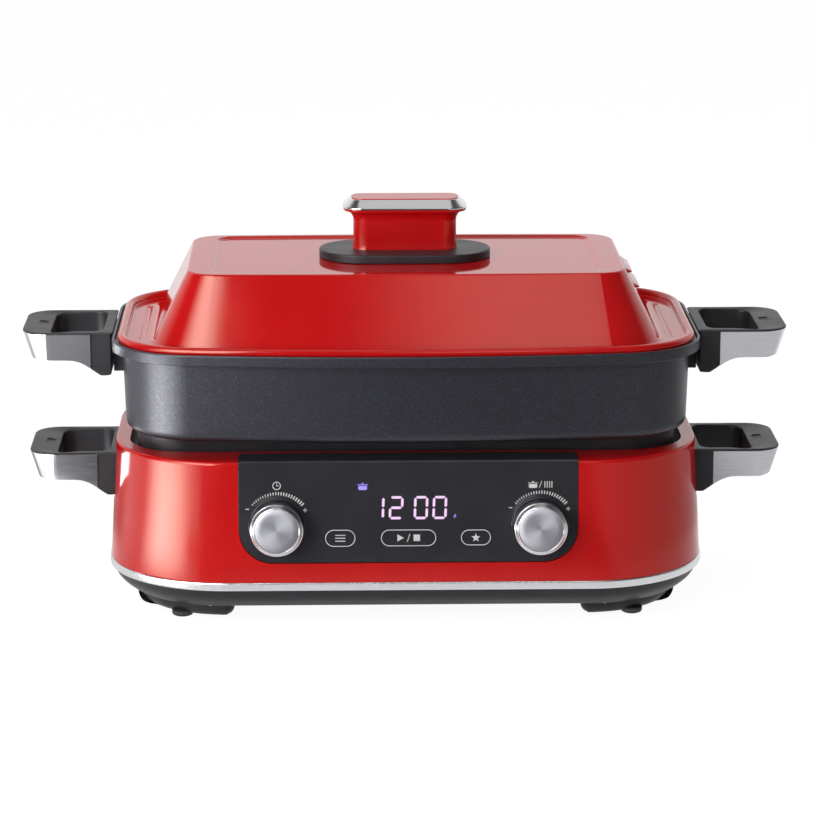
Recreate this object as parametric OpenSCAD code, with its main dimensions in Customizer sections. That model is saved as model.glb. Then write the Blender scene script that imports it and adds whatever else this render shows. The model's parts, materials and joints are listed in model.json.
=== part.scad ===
// Countertop multicooker: a heated base, a pan that stands on it and a lid that lifts off.
// Millimetres, +Z up, +X to the right seen from the front, -Y towards the front.
// The origin is on the table, under the middle of the bounding box.

/* [Base shell] */
// Width of the base at its top ring
base_w = 382; // [350:1:420]
// Depth of the base at its top ring
base_d = 206; // [196:1:240]
// How far each wall leans outwards from top to bottom
base_flare = 4.5; // [3:0.5:8]
// Corner radius of the base at its top ring
base_corner = 74; // [66:1:78]
// Height of the red shell
shell_h = 79; // [76:0.5:90]
// Wall of the red shell
shell_t = 3; // [2.5:0.1:3.6]
// Thickness of the flat top ring
ring_t = 2.6; // [2.2:0.1:3.4]
// Rounding of the shell's top edge
edge_r = 2.4; // [1.5:0.1:3]
// Width of the opening in the top ring
opening_w = 362; // [350:1:364]
// Depth of the opening in the top ring
opening_d = 146; // [140:1:152]
// Corner radius of the opening
opening_corner = 36; // [30:1:40]
// Depth of the turned-down edge round the opening
lip_h = 9.5; // [7:0.5:12]
// Diameter of the shell's screw bosses
boss_d = 8; // [7:0.5:10]
// Distance of the tray's screws from the middle, side to side
tray_boss_x = 128; // [122:1:132]
// Distance of the tray's screws from the front and back edges of the ring
tray_boss_inset = 17; // [16:0.5:19]

/* [Trim band] */
// Height of the bright band round the base
band_h = 5.5; // [4:0.5:8]
// How far the band stands out from the shell
band_proud = 0.8; // [0.4:0.1:1.5]
// Thickness of the band
band_t = 3.2; // [2.6:0.2:4]

/* [Tray and feet] */
// Height of the sloping wall of the tray
tray_h = 14; // [10:0.5:16]
// Wall of the tray
tray_t = 2.5; // [2:0.1:3.5]
// How far the tray draws in from the band to its floor
tray_inset = 12; // [8:0.5:15]
// Height of the foot blocks below the tray floor
foot_h = 8.8; // [7:0.2:12]
// How far the foot blocks lie inside the tray's lower edge
foot_inset = 2; // [1:0.5:8]
// Distance of a foot block's inner end from the middle
foot_start = 112; // [100:1:125]
// Distance of a foot block's rear end from the middle line
foot_back = 44; // [36:1:52]
// Diameter of the rubber pads
pad_d = 14; // [12:0.5:18]
// How far the rubber pads stand out
pad_h = 2.2; // [1.2:0.1:3]
// Depth of the pads' seats in the foot blocks
pad_seat = 1.6; // [1:0.1:2.5]
// Side to side distance of a pad from the middle
pad_x = 147; // [136:1:148]
// Front to back distance of a pad from the middle
pad_y = 76; // [68:1:77]
// Width of the slots that let air in under the base
vent_w = 3; // [2:0.5:4]
// Length of the slots that let air in under the base
vent_l = 34; // [24:1:44]

/* [Collar and reflector] */
// Gap between the opening and the black collar
collar_gap = 4.5; // [3.5:0.5:6]
// Wall of the collar
collar_t = 4; // [3:0.5:5]
// Height of the collar above the red ring
collar_rise = 11; // [10:0.5:16]
// Width of the collar's flange under the ring
collar_flange = 8.5; // [7:0.5:8.5]
// Thickness of the collar's flange
flange_t = 3; // [2.5:0.5:4]
// Width of the step inside the collar that carries the reflector
ledge_w = 4; // [3:0.5:5]
// Distance of the collar's screws from the middle, side to side
collar_screw_x = 138; // [134:1:142]
// Sheet thickness of the reflector
liner_t = 1; // [0.8:0.1:1.5]
// Depth of the reflector below its rim
liner_depth = 14; // [11:1:16]

/* [Heating element and probe] */
// Tube diameter of the heating element
element_d = 6.6; // [6:0.1:8]
// Gap between the heating element and the pan
element_gap = 0.5; // [0.3:0.1:1]
// Distance of the element's outer runs from the middle line
element_outer = 46; // [42:1:50]
// Distance of the element's inner runs from the middle line
element_inner = 17; // [16:0.5:20]
// Distance of the element's bends from the middle
element_reach = 132; // [120:1:138]
// Place of the element's two ends, to the right of the middle
element_ends = 46; // [40:1:60]
// Diameter of the temperature probe's cap
probe_d = 16; // [14:0.5:18]
// Travel of the temperature probe
probe_travel = 3; // [2:0.5:3.5]
// Wire of the probe's spring
spring_wire = 0.9; // [0.7:0.1:1.1]
// Outer diameter of the probe's spring
spring_d = 11; // [10:0.5:12]
// Turns of the probe's spring
spring_turns = 4; // [3:1:5]

/* [Pan] */
// Height of the pan
pan_h = 59; // [52:1:75]
// Width of the pan's raised edge
rim_t = 2; // [1.6:0.1:2.6]
// Play between the lid and the pan's raised edge
lid_play = 1.6; // [1:0.1:2.5]
// Height of the band below the pan's edge
rim_band_h = 7.2; // [6:0.2:9]
// How far the pan's wall lies inside its rim
pan_setback = 7; // [5:0.2:7.4]
// How far the pan's wall draws in towards the bottom
pan_draft = 1.6; // [0.5:0.1:2]
// Wall of the pan
pan_wall = 4; // [3:0.2:5]
// Thickness of the pan's floor
pan_floor_t = 5; // [4:0.5:7]
// Rounding between the pan's wall and its bottom
pan_round = 7; // [6:0.5:10]

/* [Lid] */
// Width of the lid over its rolled edge
lid_w = 376; // [366:1:396]
// Depth of the lid over its rolled edge
lid_d = 218; // [212:1:238]
// Corner radius of the lid
lid_corner = 54; // [48:1:60]
// How far the long sides of lid and pan bow outwards
side_bow = 8; // [5:0.5:9]
// Diameter of the lid's rolled edge
bead_d = 6; // [5:0.2:7]
// Sheet thickness of the lid
lid_t = 1.8; // [1.5:0.1:2.4]
// Height of the hood above the rolled edge
hood_h = 41.6; // [36:0.2:60]
// Distance of the hood's foot from the rolled edge, front and back
hood_inset = 1.4; // [1:0.2:3]
// Width of the hood at its foot
hood_w = 329; // [320:1:336]
// Width of the hood's flat top
top_w = 283; // [260:1:292]
// Depth of the hood's flat top
top_d = 142; // [120:1:150]
// Depth of the recess in the flat top
recess_h = 1.4; // [0.8:0.1:2]
// Distance of the recess from the short sides of the flat top
recess_side = 16; // [12:1:22]
// Distance of the recess from the long sides of the flat top
recess_front = 4.5; // [3:0.5:8]
// Length of the grooves pressed into the lid's flat flanges
groove_l = 112; // [90:1:120]
// Distance of the grooves from the hood's foot
groove_in = 7; // [6:0.5:9]
// Width of the grooves
groove_w = 4; // [3:0.5:5]
// Depth of the grooves
groove_h = 0.8; // [0.5:0.1:1]
// Length of the steam louvres on the right of the hood
louvre_l = 44; // [30:1:60]
// How far the louvres stand out
louvre_out = 3.6; // [2.5:0.1:4]
// Distance of the upper louvre below the hood's top
louvre_down = 8.5; // [7:0.5:12]
// Distance from one louvre to the next, down the hood
louvre_pitch = 10; // [9:0.5:12]

/* [Lid knob] */
// Width of the black plate under the lid knob
plate_w = 113; // [104:1:120]
// Depth of the black plate under the lid knob
plate_d = 60; // [50:1:64]
// Height of the black plate
plate_h = 5.6; // [4:0.2:7]
// Width of the knob's neck
neck_w = 68; // [60:1:74]
// Depth of the knob's neck
neck_d = 20; // [18:0.5:26]
// Height of the knob's neck with its flange
neck_h = 27.8; // [22:0.2:34]
// Width of the knob over its bright ring
grip_w = 82; // [76:1:90]
// Depth of the knob over its bright ring
grip_d = 36; // [32:0.5:42]
// Height of the knob's bright ring
grip_ring_h = 6; // [5:0.2:8]
// Width of the ring's sloping face
grip_bevel = 5.2; // [4:0.2:6]
// Distance of the knob's screws from the middle
knob_screw_x = 20; // [16:1:24]
// Thread of the knob's screws
knob_screw_d = 5; // [4:0.5:6]

/* [Side handles] */
// Reach of a handle from its foot to its tip
handle_l = 60; // [56:1:70]
// Width of a handle, front to back
handle_w = 75; // [68:1:80]
// Height of a handle's loop
loop_h = 19; // [16:0.5:22]
// Height of a handle's foot
handle_foot_h = 29; // [27:0.5:31]
// Thickness of the handle's foot against the pan or base
handle_foot_t = 6.5; // [5.5:0.5:8]
// Width of the two side bars beside the finger hole
bar_w = 6; // [5:0.5:8]
// Thickness of the bar that the fingers close round
tip_bar = 19; // [16:0.5:22]
// Corner radius at the tip of a handle
tip_corner = 17; // [12:0.5:20]
// Distance of the bright strip from the foot
strip_start = 14.5; // [12:0.5:18]
// Thickness of the bright strip
strip_t = 1.2; // [0.8:0.1:1.6]
// Height of the pan handles' top above the pan's edge
pan_handle_up = 0.8; // [0:0.2:5]
// Distance of the base handles' top below the base's ring
base_handle_down = 9.8; // [7:0.2:12]
// Depth of the hollow in the base's side for a handle's foot
pocket_h = 3.4; // [2.5:0.2:4]
// Room round a handle's foot in that hollow
pocket_room = 4; // [2:0.5:6]
// Thread of the handle screws
handle_screw_d = 4; // [3:0.5:5]
// Distance of the handle screws from the handle's middle line
handle_screw_y = 19; // [15:1:22]

/* [Control panel] */
// Width of the glossy panel
panel_w = 218; // [206:1:228]
// Length of the panel down the front
panel_l = 66.5; // [62:0.5:68]
// Depth of the panel's strip on the top ring
panel_top_d = 20.5; // [17:0.5:23]
// Thickness of the panel
panel_t = 3.2; // [2.6:0.2:4]
// How far the panel stands out from the shell
panel_proud = 0.6; // [0.3:0.1:1]
// Radius of the panel's lower corners
panel_corner = 22; // [14:1:26]
// Gap round the panel
panel_gap = 0.2; // [0.1:0.05:0.3]
// Width of the display behind the panel
display_w = 64; // [54:1:70]
// Height of the display
display_h = 20; // [16:1:24]
// Distance of the display's middle below the panel's top edge
display_down = 30; // [24:1:34]

/* [Dials] */
// Distance of the dials from the middle
dial_x = 84.5; // [78:0.5:88]
// Distance of the dials below the panel's top edge
dial_down = 42; // [40:0.5:46]
// Diameter of a dial
dial_d = 34; // [28:0.5:36]
// Diameter of a dial's face
dial_face_d = 28.5; // [24:0.5:31]
// Length of a dial
dial_l = 15; // [12:0.5:18]
// Depth of the bevel round a dial's face
dial_bevel = 2.4; // [1.5:0.1:3]
// Width of the flat edge between a dial's face and its bevel
dial_lip = 0.6; // [0.4:0.1:1]
// Grip lines round a dial
dial_ribs = 60; // [36:4:72]
// Gap between a dial and the panel
dial_gap = 0.6; // [0.4:0.1:1]
// Diameter of an encoder's shaft
shaft_d = 6; // [5:0.5:6]
// Diameter of an encoder's threaded neck
bush_d = 9; // [8:0.5:10]
// Running clearance of a shaft in its neck, on the radius
shaft_play = 0.05; // [0.02:0.01:0.1]

/* [Electronics] */
// Thickness of the circuit boards
board_t = 1.6; // [1.2:0.2:2]
// Length of the power board
power_w = 130; // [120:1:140]
// Depth of the power board
power_d = 70; // [60:1:76]
// Height of the posts that carry the power board
post_h = 8; // [6:0.5:10]
// Height of the heat shield above the tray floor
shield_up = 52; // [50:1:56]
// Width of the heat shield
shield_w = 260; // [240:1:270]
// Depth of the heat shield
shield_d = 118; // [110:1:124]

/* [Mains inlet] */
// Distance of the inlet from the middle, on the back
inlet_x = 60; // [40:1:80]
// Height of the inlet's middle above the bottom of the shell
inlet_up = 30; // [26:1:36]
// Width of the inlet's opening
inlet_w = 32; // [28:1:36]
// Height of the inlet's opening
inlet_h = 22; // [20:1:26]
// Depth of the inlet's socket
inlet_l = 17; // [15:1:20]
// Diameter of the inlet's pins
pin_d = 4; // [3.5:0.1:5]

/* [Hidden] */

// Gap between two pieces that are set together, and the rest gap of a piece that lifts off
fit_gap = 0.2;
seat_gap = 0.2;
screw_gap = 0.15;
// Overlap that joins two shapes of one solid, and the reach of a cut past its face
join = 0.5;
past = 1;
// What keeps a straight edge between the two arcs of a round end
hair = 0.01;
// Screws: how much the thread is narrower than its pilot hole, and the head's size as shares of it
thread_less = 0.2;
head_wide = 1.9;
head_high = 0.55;
cross_w = 0.24;
cross_deep = 0.3;

// Heights from the table up
foot_z = pad_h;
tray_z = foot_z + foot_h;
tray_floor_z = tray_z + tray_t;
band_z = tray_z + tray_h;
shell_z = band_z + band_h;
ring_z = shell_z + shell_h;
ring_under_z = ring_z - ring_t;
lip_z = ring_z - lip_h;
flange_z = lip_z - fit_gap - flange_t;
collar_z = ring_z + collar_rise;
pan_z = collar_z + seat_gap;
rim_z = pan_z + pan_h;
ledge_z = rim_z - bead_d * 0.4;
lid_z = ledge_z + seat_gap;
bead_z = lid_z + bead_d / 2;
top_z = lid_z + bead_d + hood_h;
recess_z = top_z - recess_h;
lid_under_z = recess_z - lid_t;
plate_z = recess_z + plate_h + fit_gap;
knob_flange_z = plate_z + neck_h;
knob_top_z = knob_flange_z + grip_ring_h;
liner_z = lip_z;
liner_floor_z = liner_z - liner_depth;

// Half sizes of the main outlines
base_x = base_w / 2;
base_y = base_d / 2;
lid_x = lid_w / 2;
lid_y = lid_d / 2;
rim_x = lid_x + lid_play + rim_t;
rim_y = lid_y + lid_play + rim_t;
rim_corner = lid_corner + lid_play + rim_t;
collar_x = opening_w / 2 - collar_gap;
collar_y = opening_d / 2 - collar_gap;
collar_corner = opening_corner - collar_gap;

// Frame of the sloping front wall and of the inlet in the back wall
lean = atan2(base_flare, shell_h);
lean_l = shell_h / cos(lean);
inlet_z = shell_z + inlet_up;

// Reach of the dials in front and of the pan's rim behind, which centres the model
dial_reach = base_y + sin(lean) * (dial_down + dial_face_d / 2 + dial_lip)
  + cos(lean) * (panel_proud + dial_gap + dial_l);
frame_y = (dial_reach - rim_y) / 2;

// Steps of a rounded corner and of a bowed side in the lofted shells
corner_steps = 9;
bow_steps = 4;

// Colours
red = [0.78, 0.06, 0.09];
charcoal = [0.20, 0.20, 0.22];
black = [0.10, 0.10, 0.11];
bright = [0.80, 0.80, 0.82];
steel = [0.62, 0.63, 0.65];
brass = [0.78, 0.66, 0.36];
green = [0.10, 0.35, 0.20];
cream = [0.90, 0.88, 0.80];

$fn = 48;

// First quarter of an outline, from the short side round the corner to the long side
function quarter(hx, hy, r, bow) =
  let (
    cx = hx - r,
    big = bow > 0 ? (cx * cx + bow * bow) / (2 * bow) : 0,
    cy = bow > 0 ? hy - big + sqrt(pow(big - r, 2) - cx * cx) : hy - r,
    turn = bow > 0 ? acos(cx / (big - r)) : 90
  )
  concat(
    [for (i = [0:corner_steps])
      [cx + r * cos(turn * i / corner_steps), cy + r * sin(turn * i / corner_steps)]],
    bow > 0
      ? [for (j = [1:bow_steps - 1])
        let (a = turn + (90 - turn) * j / bow_steps) [big * cos(a), hy - big + big * sin(a)]]
      : []
  );
function turned(q, sx, sy) = [for (p = q) [p.x * sx, p.y * sy]];
function reversed(q) = [for (i = [len(q) - 1:-1:0]) q[i]];

// Closed outline of half sizes hx and hy, corner radius r and bowed long sides
function outline(hx, hy, r, bow) =
  let (q = quarter(hx, hy, r, bow), mid = bow > 0 ? [[0, hy]] : [])
  concat(q, mid, reversed(turned(q, -1, 1)), turned(q, -1, -1), turned(mid, 1, -1),
    reversed(turned(q, 1, -1)));

// Closed solid through rings of [half width, half depth, corner radius, bow, height]
module loft(rings) {
  sections = [for (s = rings) [for (p = outline(s[0], s[1], s[2], s[3])) [p.x, p.y, s[4]]]];
  n = len(sections[0]);
  last = len(sections) - 1;
  sides = [for (k = [0:last - 1]) for (i = [0:n - 1])
    let (j = (i + 1) % n, a = k * n, b = (k + 1) * n)
    each [[a + i, b + i, b + j], [a + i, b + j, a + j]]];
  first_cap = [for (i = [0:n - 1]) i];
  last_cap = [for (i = [n - 1:-1:0]) last * n + i];
  polyhedron([for (s = sections) each s], concat([first_cap], sides, [last_cap]));
}

// Rounded rectangle with true arcs
module rounded(hx, hy, r) {
  square([2 * hx, 2 * (hy - r)], center = true);
  square([2 * (hx - r), 2 * hy], center = true);
  for (sx = [-1, 1])
    for (sy = [-1, 1])
      translate([sx * (hx - r), sy * (hy - r)])
        circle(r);
}

module rounded_ring(hx, hy, r, t) {
  difference() {
    rounded(hx, hy, r);
    rounded(hx - t, hy - t, r - t);
  }
}

// Places its children at the four corners of a rectangle
module at_corners(x, y) {
  for (sx = [-1, 1])
    for (sy = [-1, 1])
      translate([sx * x, sy * y, 0])
        children();
}

// Screw along +Z with its head below, the head's seat at the origin, a cross in the head
module screw(d, l) {
  cylinder(d = d, h = l);
  difference() {
    translate([0, 0, -d * head_high])
      cylinder(d = d * head_wide, h = d * head_high);
    for (a = [0, 90])
      rotate(a)
        translate([-d * head_wide / 3, -d * cross_w / 2, -d * head_high - past])
          cube([d * head_wide * 2 / 3, d * cross_w, d * cross_deep + past]);
  }
}

// Shifts the whole model so that the origin is under the middle of its bounding box
module framed() {
  translate([0, frame_y, 0])
    children();
}

// Frame on the front wall: x across, +Y inwards through the wall, +Z up along the wall
module on_front() {
  translate([0, -base_y, ring_z])
    rotate([-lean, 0, 0])
      children();
}

// Frame on the front wall at a dial's axis, +Z pointing out of the wall
module on_dial(side) {
  on_front()
    translate([side * dial_x, -panel_proud, -dial_down])
      rotate([90, 0, 0])
        children();
}

// Frame on the back wall at the inlet, +Z pointing out of the wall
module on_back() {
  translate([inlet_x, base_y + base_flare * (ring_z - inlet_z) / shell_h, inlet_z])
    rotate([lean - 90, 0, 0])
      children();
}

// Base shell

// Ring of the base's outline, drawn in by inset, at height z
function base_ring(inset, z) =
  let (out = base_flare * (ring_z - z) / shell_h)
  [base_x + out - inset, base_y + out - inset, base_corner + out - inset, 0, z];

module base_outer() {
  loft([
    base_ring(0, shell_z),
    for (a = [0:30:90])
      base_ring(edge_r * (1 - cos(a)), ring_z - edge_r * (1 - sin(a)))
  ]);
}

module base_hollow(z) {
  loft([base_ring(shell_t, shell_z - past), base_ring(shell_t, z)]);
}

pocket_w = handle_w + 2 * pocket_room;
pocket_z = ring_z - base_handle_down - handle_foot_h - pocket_room;
pocket_l = handle_foot_h + 2 * pocket_room;
wall_x = base_x + base_flare * (base_handle_down + handle_foot_h / 2) / shell_h;
base_foot_x = wall_x - pocket_h;
pocket_corner = 8;

// Block with rounded corners that lies on a side wall of the base, from x0 outwards
module side_block(x0, w, l, grow) {
  translate([x0, 0, pocket_z + l / 2])
    rotate([90, 0, 90])
      linear_extrude(pocket_h + 4 * shell_t)
        rounded(w / 2 + grow, l / 2 + grow, pocket_corner + grow);
}

// Pilot holes of the bosses, and how far the collar's bosses run into the turned-down edge
boss_bore = 2.8;
tray_bore_l = 16;
boss_sink = 2;
tray_boss_y = base_y - tray_boss_inset;
collar_screw_y = opening_d / 2 + ring_t + boss_d / 2 - boss_sink;

module panel_window() {
  intersection() {
    panel_section(past, shell_t + past, ring_z + past, ring_under_z - past, panel_top_d + panel_gap);
    panel_prism(panel_gap);
  }
}

module base_shell() {
  color(red)
    difference() {
      union() {
        difference() {
          base_outer();
          base_hollow(ring_under_z);
          translate([0, 0, lip_z])
            linear_extrude(lip_h + past)
              rounded(opening_w / 2, opening_d / 2, opening_corner);
        }
        translate([0, 0, lip_z])
          linear_extrude(lip_h - ring_t / 2)
            difference() {
              rounded(opening_w / 2 + ring_t, opening_d / 2 + ring_t,
                opening_corner + ring_t);
              rounded(opening_w / 2, opening_d / 2, opening_corner);
            }
        at_corners(tray_boss_x, tray_boss_y)
          translate([0, 0, tray_floor_z])
            cylinder(d = boss_d, h = ring_under_z + join - tray_floor_z);
        at_corners(collar_screw_x, collar_screw_y)
          translate([0, 0, lip_z])
            cylinder(d = boss_d, h = lip_h - ring_t + join);
        for (side = [0, 180])
          rotate(side)
            intersection() {
              base_outer();
              side_block(base_foot_x - shell_t, pocket_w, pocket_l, shell_t);
            }
      }
      for (side = [0, 180])
        rotate(side) {
          side_block(base_foot_x, pocket_w, pocket_l, 0);
          for (sy = [-1, 1])
            translate([base_foot_x - shell_t - past, sy * handle_screw_y, base_screw_z])
              rotate([0, 90, 0])
                cylinder(d = handle_screw_d + 2 * screw_gap, h = shell_t + 2 * past);
        }
      at_corners(tray_boss_x, tray_boss_y)
        translate([0, 0, tray_floor_z - past])
          cylinder(d = boss_bore, h = tray_bore_l);
      at_corners(collar_screw_x, collar_screw_y)
        translate([0, 0, lip_z - past])
          cylinder(d = boss_bore, h = lip_h - ring_t);
      panel_window();
      on_back()
        translate([0, 0, -shell_t - past])
          linear_extrude(shell_t + 2 * past)
            rounded(inlet_w / 2 + inlet_wall, inlet_h / 2 + inlet_wall, inlet_corner);
    }
}

module trim_band() {
  bottom_x = base_x + base_flare + band_proud;
  bottom_y = base_y + base_flare + band_proud;
  bottom_r = base_corner + base_flare + band_proud;
  color(bright)
    translate([0, 0, band_z])
      linear_extrude(band_h)
        rounded_ring(bottom_x, bottom_y, bottom_r, band_t + band_proud);
}

// Tray and feet

function tray_ring(inset, z) =
  [base_x + base_flare - inset, base_y + base_flare - inset, base_corner + base_flare - inset, 0, z];

// Inset of the tray's upper edge, of its lower edge and of the small bevel round its floor
band_seat = 1;
tray_low = tray_inset + band_seat;
tray_edge = 1.5;
// The tray's wall bellies: at this share of its height it has drawn in by that share
belly_up = 0.55;
belly_in = 0.45;
// Height and inset of the rounding under a foot block
foot_round = 3;
foot_taper = 2.2;
foot_land = 1;

module foot_plan(inset) {
  drawn = tray_low + foot_inset + inset;
  intersection() {
    rounded(base_x + base_flare - drawn, base_y + base_flare - drawn, base_corner + base_flare - drawn);
    translate([foot_start + inset, foot_back + inset])
      square(base_w / 2);
  }
}

module foot_block() {
  hull() {
    translate([0, 0, foot_z + foot_round])
      linear_extrude(foot_h - foot_round + join)
        foot_plan(0);
    translate([0, 0, foot_z])
      linear_extrude(foot_land)
        foot_plan(foot_taper);
  }
}

// Holes for the tray's screws and their heads
tray_hole = boss_bore + 0.6;
head_hole = 7;
// Posts of the power board and of the heat shield, and the holes in them
board_edge = 6;
shield_edge = 8;
post_d = 7;
post_bore = 2.4;
post_bore_l = 6;
// Rows of air slots
vent_count = 9;
vent_bar = 4.2;
vent_x = 92;
vent_y = -8;

module air_slots() {
  pitch = vent_w + vent_bar;
  for (side = [-1, 1])
    for (i = [0:vent_count - 1])
      translate([side * vent_x + (i - (vent_count - 1) / 2) * pitch - vent_w / 2,
        vent_y - vent_l / 2, tray_z - past])
        cube([vent_w, vent_l, tray_t + 2 * past]);
}

module board_posts(d, z, h) {
  translate([power_x, power_y, z])
    at_corners(power_w / 2 - board_edge, power_d / 2 - board_edge)
      cylinder(d = d, h = h);
}

module shield_posts(d, z, h) {
  translate([0, 0, z])
    at_corners(shield_w / 2 - shield_edge, shield_d / 2 - shield_edge)
      cylinder(d = d, h = h);
}

module base_tray() {
  color(black)
    difference() {
      union() {
        difference() {
          loft([
            tray_ring(tray_low + tray_edge, tray_z),
            tray_ring(tray_low, tray_z + tray_edge / 2),
            tray_ring(tray_inset * belly_in, tray_z + tray_h * belly_up),
            tray_ring(band_seat, band_z)
          ]);
          loft([
            tray_ring(tray_low + tray_t + band_seat, tray_floor_z),
            tray_ring(tray_inset * belly_in + tray_t, tray_z + tray_h * belly_up),
            tray_ring(band_seat + tray_t, band_z + past)
          ]);
        }
        for (sx = [0, 1])
          for (sy = [0, 1])
            mirror([sx, 0, 0])
              mirror([0, sy, 0])
                foot_block();
        board_posts(post_d, tray_floor_z - join, post_h + join);
        shield_posts(boss_d, tray_floor_z - join, shield_up + join);
      }
      at_corners(pad_x, pad_y)
        translate([0, 0, foot_z - past])
          cylinder(d = pad_d + 2 * fit_gap, h = pad_seat + past);
      at_corners(tray_boss_x, tray_boss_y)
        translate([0, 0, tray_z - foot_h - past]) {
          cylinder(d = tray_hole, h = foot_h + tray_t + 2 * past);
          cylinder(d = head_hole, h = foot_h + past);
        }
      board_posts(post_bore, tray_floor_z + post_h - post_bore_l, post_bore_l + past);
      shield_posts(post_bore, tray_floor_z + shield_up - post_bore_l, post_bore_l + past);
      air_slots();
    }
}

pad_bevel = 0.6;

module foot_pads() {
  color(charcoal)
    at_corners(pad_x, pad_y) {
      translate([0, 0, pad_bevel])
        cylinder(d = pad_d, h = pad_h + pad_seat - pad_bevel);
      cylinder(d1 = pad_d - 4 * pad_bevel, d2 = pad_d, h = pad_bevel);
    }
}

tray_screw_l = 14;

module tray_screws() {
  color(steel)
    at_corners(tray_boss_x, tray_boss_y)
      translate([0, 0, tray_z])
        screw(boss_bore - thread_less, tray_screw_l);
}

// Collar, reflector, heating element and probe

ledge_in = collar_t + ledge_w;
collar_screw_l = 8.5;

module collar() {
  color(black)
    difference() {
      union() {
        translate([0, 0, flange_z])
          linear_extrude(collar_z - flange_z)
            rounded(collar_x, collar_y, collar_corner);
        translate([0, 0, flange_z])
          linear_extrude(flange_t)
            rounded(collar_x + collar_flange, collar_y + collar_flange,
              collar_corner + collar_flange);
        at_corners(collar_screw_x, collar_screw_y)
          translate([0, 0, flange_z])
            cylinder(d = boss_d, h = flange_t);
      }
      translate([0, 0, liner_z])
        linear_extrude(collar_z)
          rounded(collar_x - collar_t, collar_y - collar_t, collar_corner - collar_t);
      translate([0, 0, flange_z - past])
        linear_extrude(collar_z)
          rounded(collar_x - ledge_in, collar_y - ledge_in, collar_corner - ledge_in);
      at_corners(collar_screw_x, collar_screw_y)
        translate([0, 0, flange_z - past])
          cylinder(d = boss_bore + 2 * screw_gap, h = flange_t + 2 * past);
    }
}

module collar_screws() {
  color(steel)
    at_corners(collar_screw_x, collar_screw_y)
      translate([0, 0, flange_z])
        screw(boss_bore - thread_less, collar_screw_l);
}

// Insulating bushes at the ends of the element: a head on the reflector and a neck through it
element_play = 0.3;
bush_wall = 2.5;
bush_head = 2.5;
bush_neck = 4;
bush_r = element_d / 2 + bush_wall;
bush_neck_r = bush_r - 1;

module reflector() {
  rim_in = collar_t + fit_gap;
  dish_in = ledge_in + 2 * fit_gap;
  floor_in = dish_in + liner_t;
  color(bright)
    difference() {
      union() {
        translate([0, 0, liner_z])
          linear_extrude(liner_t)
            rounded(collar_x - rim_in, collar_y - rim_in, collar_corner - rim_in);
        translate([0, 0, liner_floor_z])
          linear_extrude(liner_depth + liner_t / 2)
            rounded(collar_x - dish_in, collar_y - dish_in, collar_corner - dish_in);
      }
      translate([0, 0, liner_floor_z + liner_t])
        linear_extrude(liner_depth + past)
          rounded(collar_x - floor_in, collar_y - floor_in, collar_corner - floor_in);
      for (sy = [-1, 1])
        translate([element_ends, sy * element_inner, liner_floor_z - past])
          cylinder(r = bush_neck_r + fit_gap, h = liner_t + 2 * past);
      translate([0, 0, liner_floor_z - past])
        cylinder(d = holder_d + 2 * fit_gap, h = liner_t + 2 * past);
    }
}

element_z = pan_z - element_gap - element_d / 2;
turn_r = (element_outer - element_inner) / 2;
left_r = 20;
end_r = 9;
element_drop = 14;
element_low = liner_floor_z - element_drop;

// Straight length of tube along +X
module tube_x(x0, x1, y, z) {
  translate([x0, y, z])
    rotate([0, 90, 0])
      cylinder(d = element_d, h = x1 - x0);
}

// Bend of the tube in the plane of the element, from angle a over sweep degrees
module tube_bend(x, y, r, a, sweep) {
  translate([x, y, element_z])
    rotate(a)
      rotate_extrude(angle = sweep)
        translate([r, 0])
          circle(d = element_d);
}

module heating_element() {
  color(charcoal)
    for (side = [0, 1])
      mirror([0, side, 0]) {
        tube_x(element_ends + end_r, element_reach, element_inner, element_z);
        tube_bend(element_reach, element_inner + turn_r, turn_r, -90, 180);
        tube_x(-element_reach, element_reach, element_outer, element_z);
        tube_bend(-element_reach, element_outer - left_r, left_r, 90, 90);
        translate([-element_reach - left_r, 0, element_z])
          rotate([-90, 0, 0])
            cylinder(d = element_d, h = element_outer - left_r);
        translate([element_ends + end_r, element_inner, element_z - end_r])
          rotate([90, 0, 0])
            rotate(90)
              rotate_extrude(angle = 90)
                translate([end_r, 0])
                  circle(d = element_d);
        translate([element_ends, element_inner, element_low])
          cylinder(d = element_d, h = element_z - end_r - element_low);
      }
}

clip_x = 70;
clip_w = 9;
clip_t = 1.5;
clip_foot = 8;

module element_clips() {
  rise = element_z - liner_floor_z - liner_t;
  color(steel)
    for (sx = [-1, 1])
      for (sy = [-1, 1])
        translate([sx * clip_x, sy * element_outer, liner_floor_z + liner_t])
          difference() {
            union() {
              translate([-clip_t / 2, -clip_w / 2, 0])
                cube([clip_t, clip_w, rise]);
              translate([-clip_foot / 2, -clip_w / 2, 0])
                cube([clip_foot, clip_w, clip_t]);
            }
            translate([-past - clip_t, 0, rise])
              rotate([0, 90, 0])
                cylinder(d = element_d + element_play, h = 2 * past + 2 * clip_t);
          }
}

module element_bushes() {
  color(cream)
    for (sy = [-1, 1])
      translate([element_ends, sy * element_inner, liner_floor_z])
        difference() {
          union() {
            translate([0, 0, liner_t])
              cylinder(r = bush_r, h = bush_head);
            translate([0, 0, -bush_neck])
              cylinder(r = bush_neck_r, h = bush_neck + liner_t + join);
          }
          translate([0, 0, -bush_neck - past])
            cylinder(d = element_d + element_play,
              h = bush_neck + liner_t + bush_head + 2 * past);
        }
}

// Ends of the element: a pin with a flat tab
terminal_l = 11;
terminal_d = 4;
tab_w = 6.4;
tab_t = 0.8;
tab_l = 8;

module element_terminals() {
  color(brass)
    for (sy = [-1, 1])
      translate([element_ends, sy * element_inner, element_low - terminal_l]) {
        translate([-tab_t / 2, -tab_w / 2, 0])
          cube([tab_t, tab_w, tab_l]);
        translate([0, 0, tab_l - join])
          cylinder(d = terminal_d, h = terminal_l - tab_l + join);
      }
}

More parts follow.
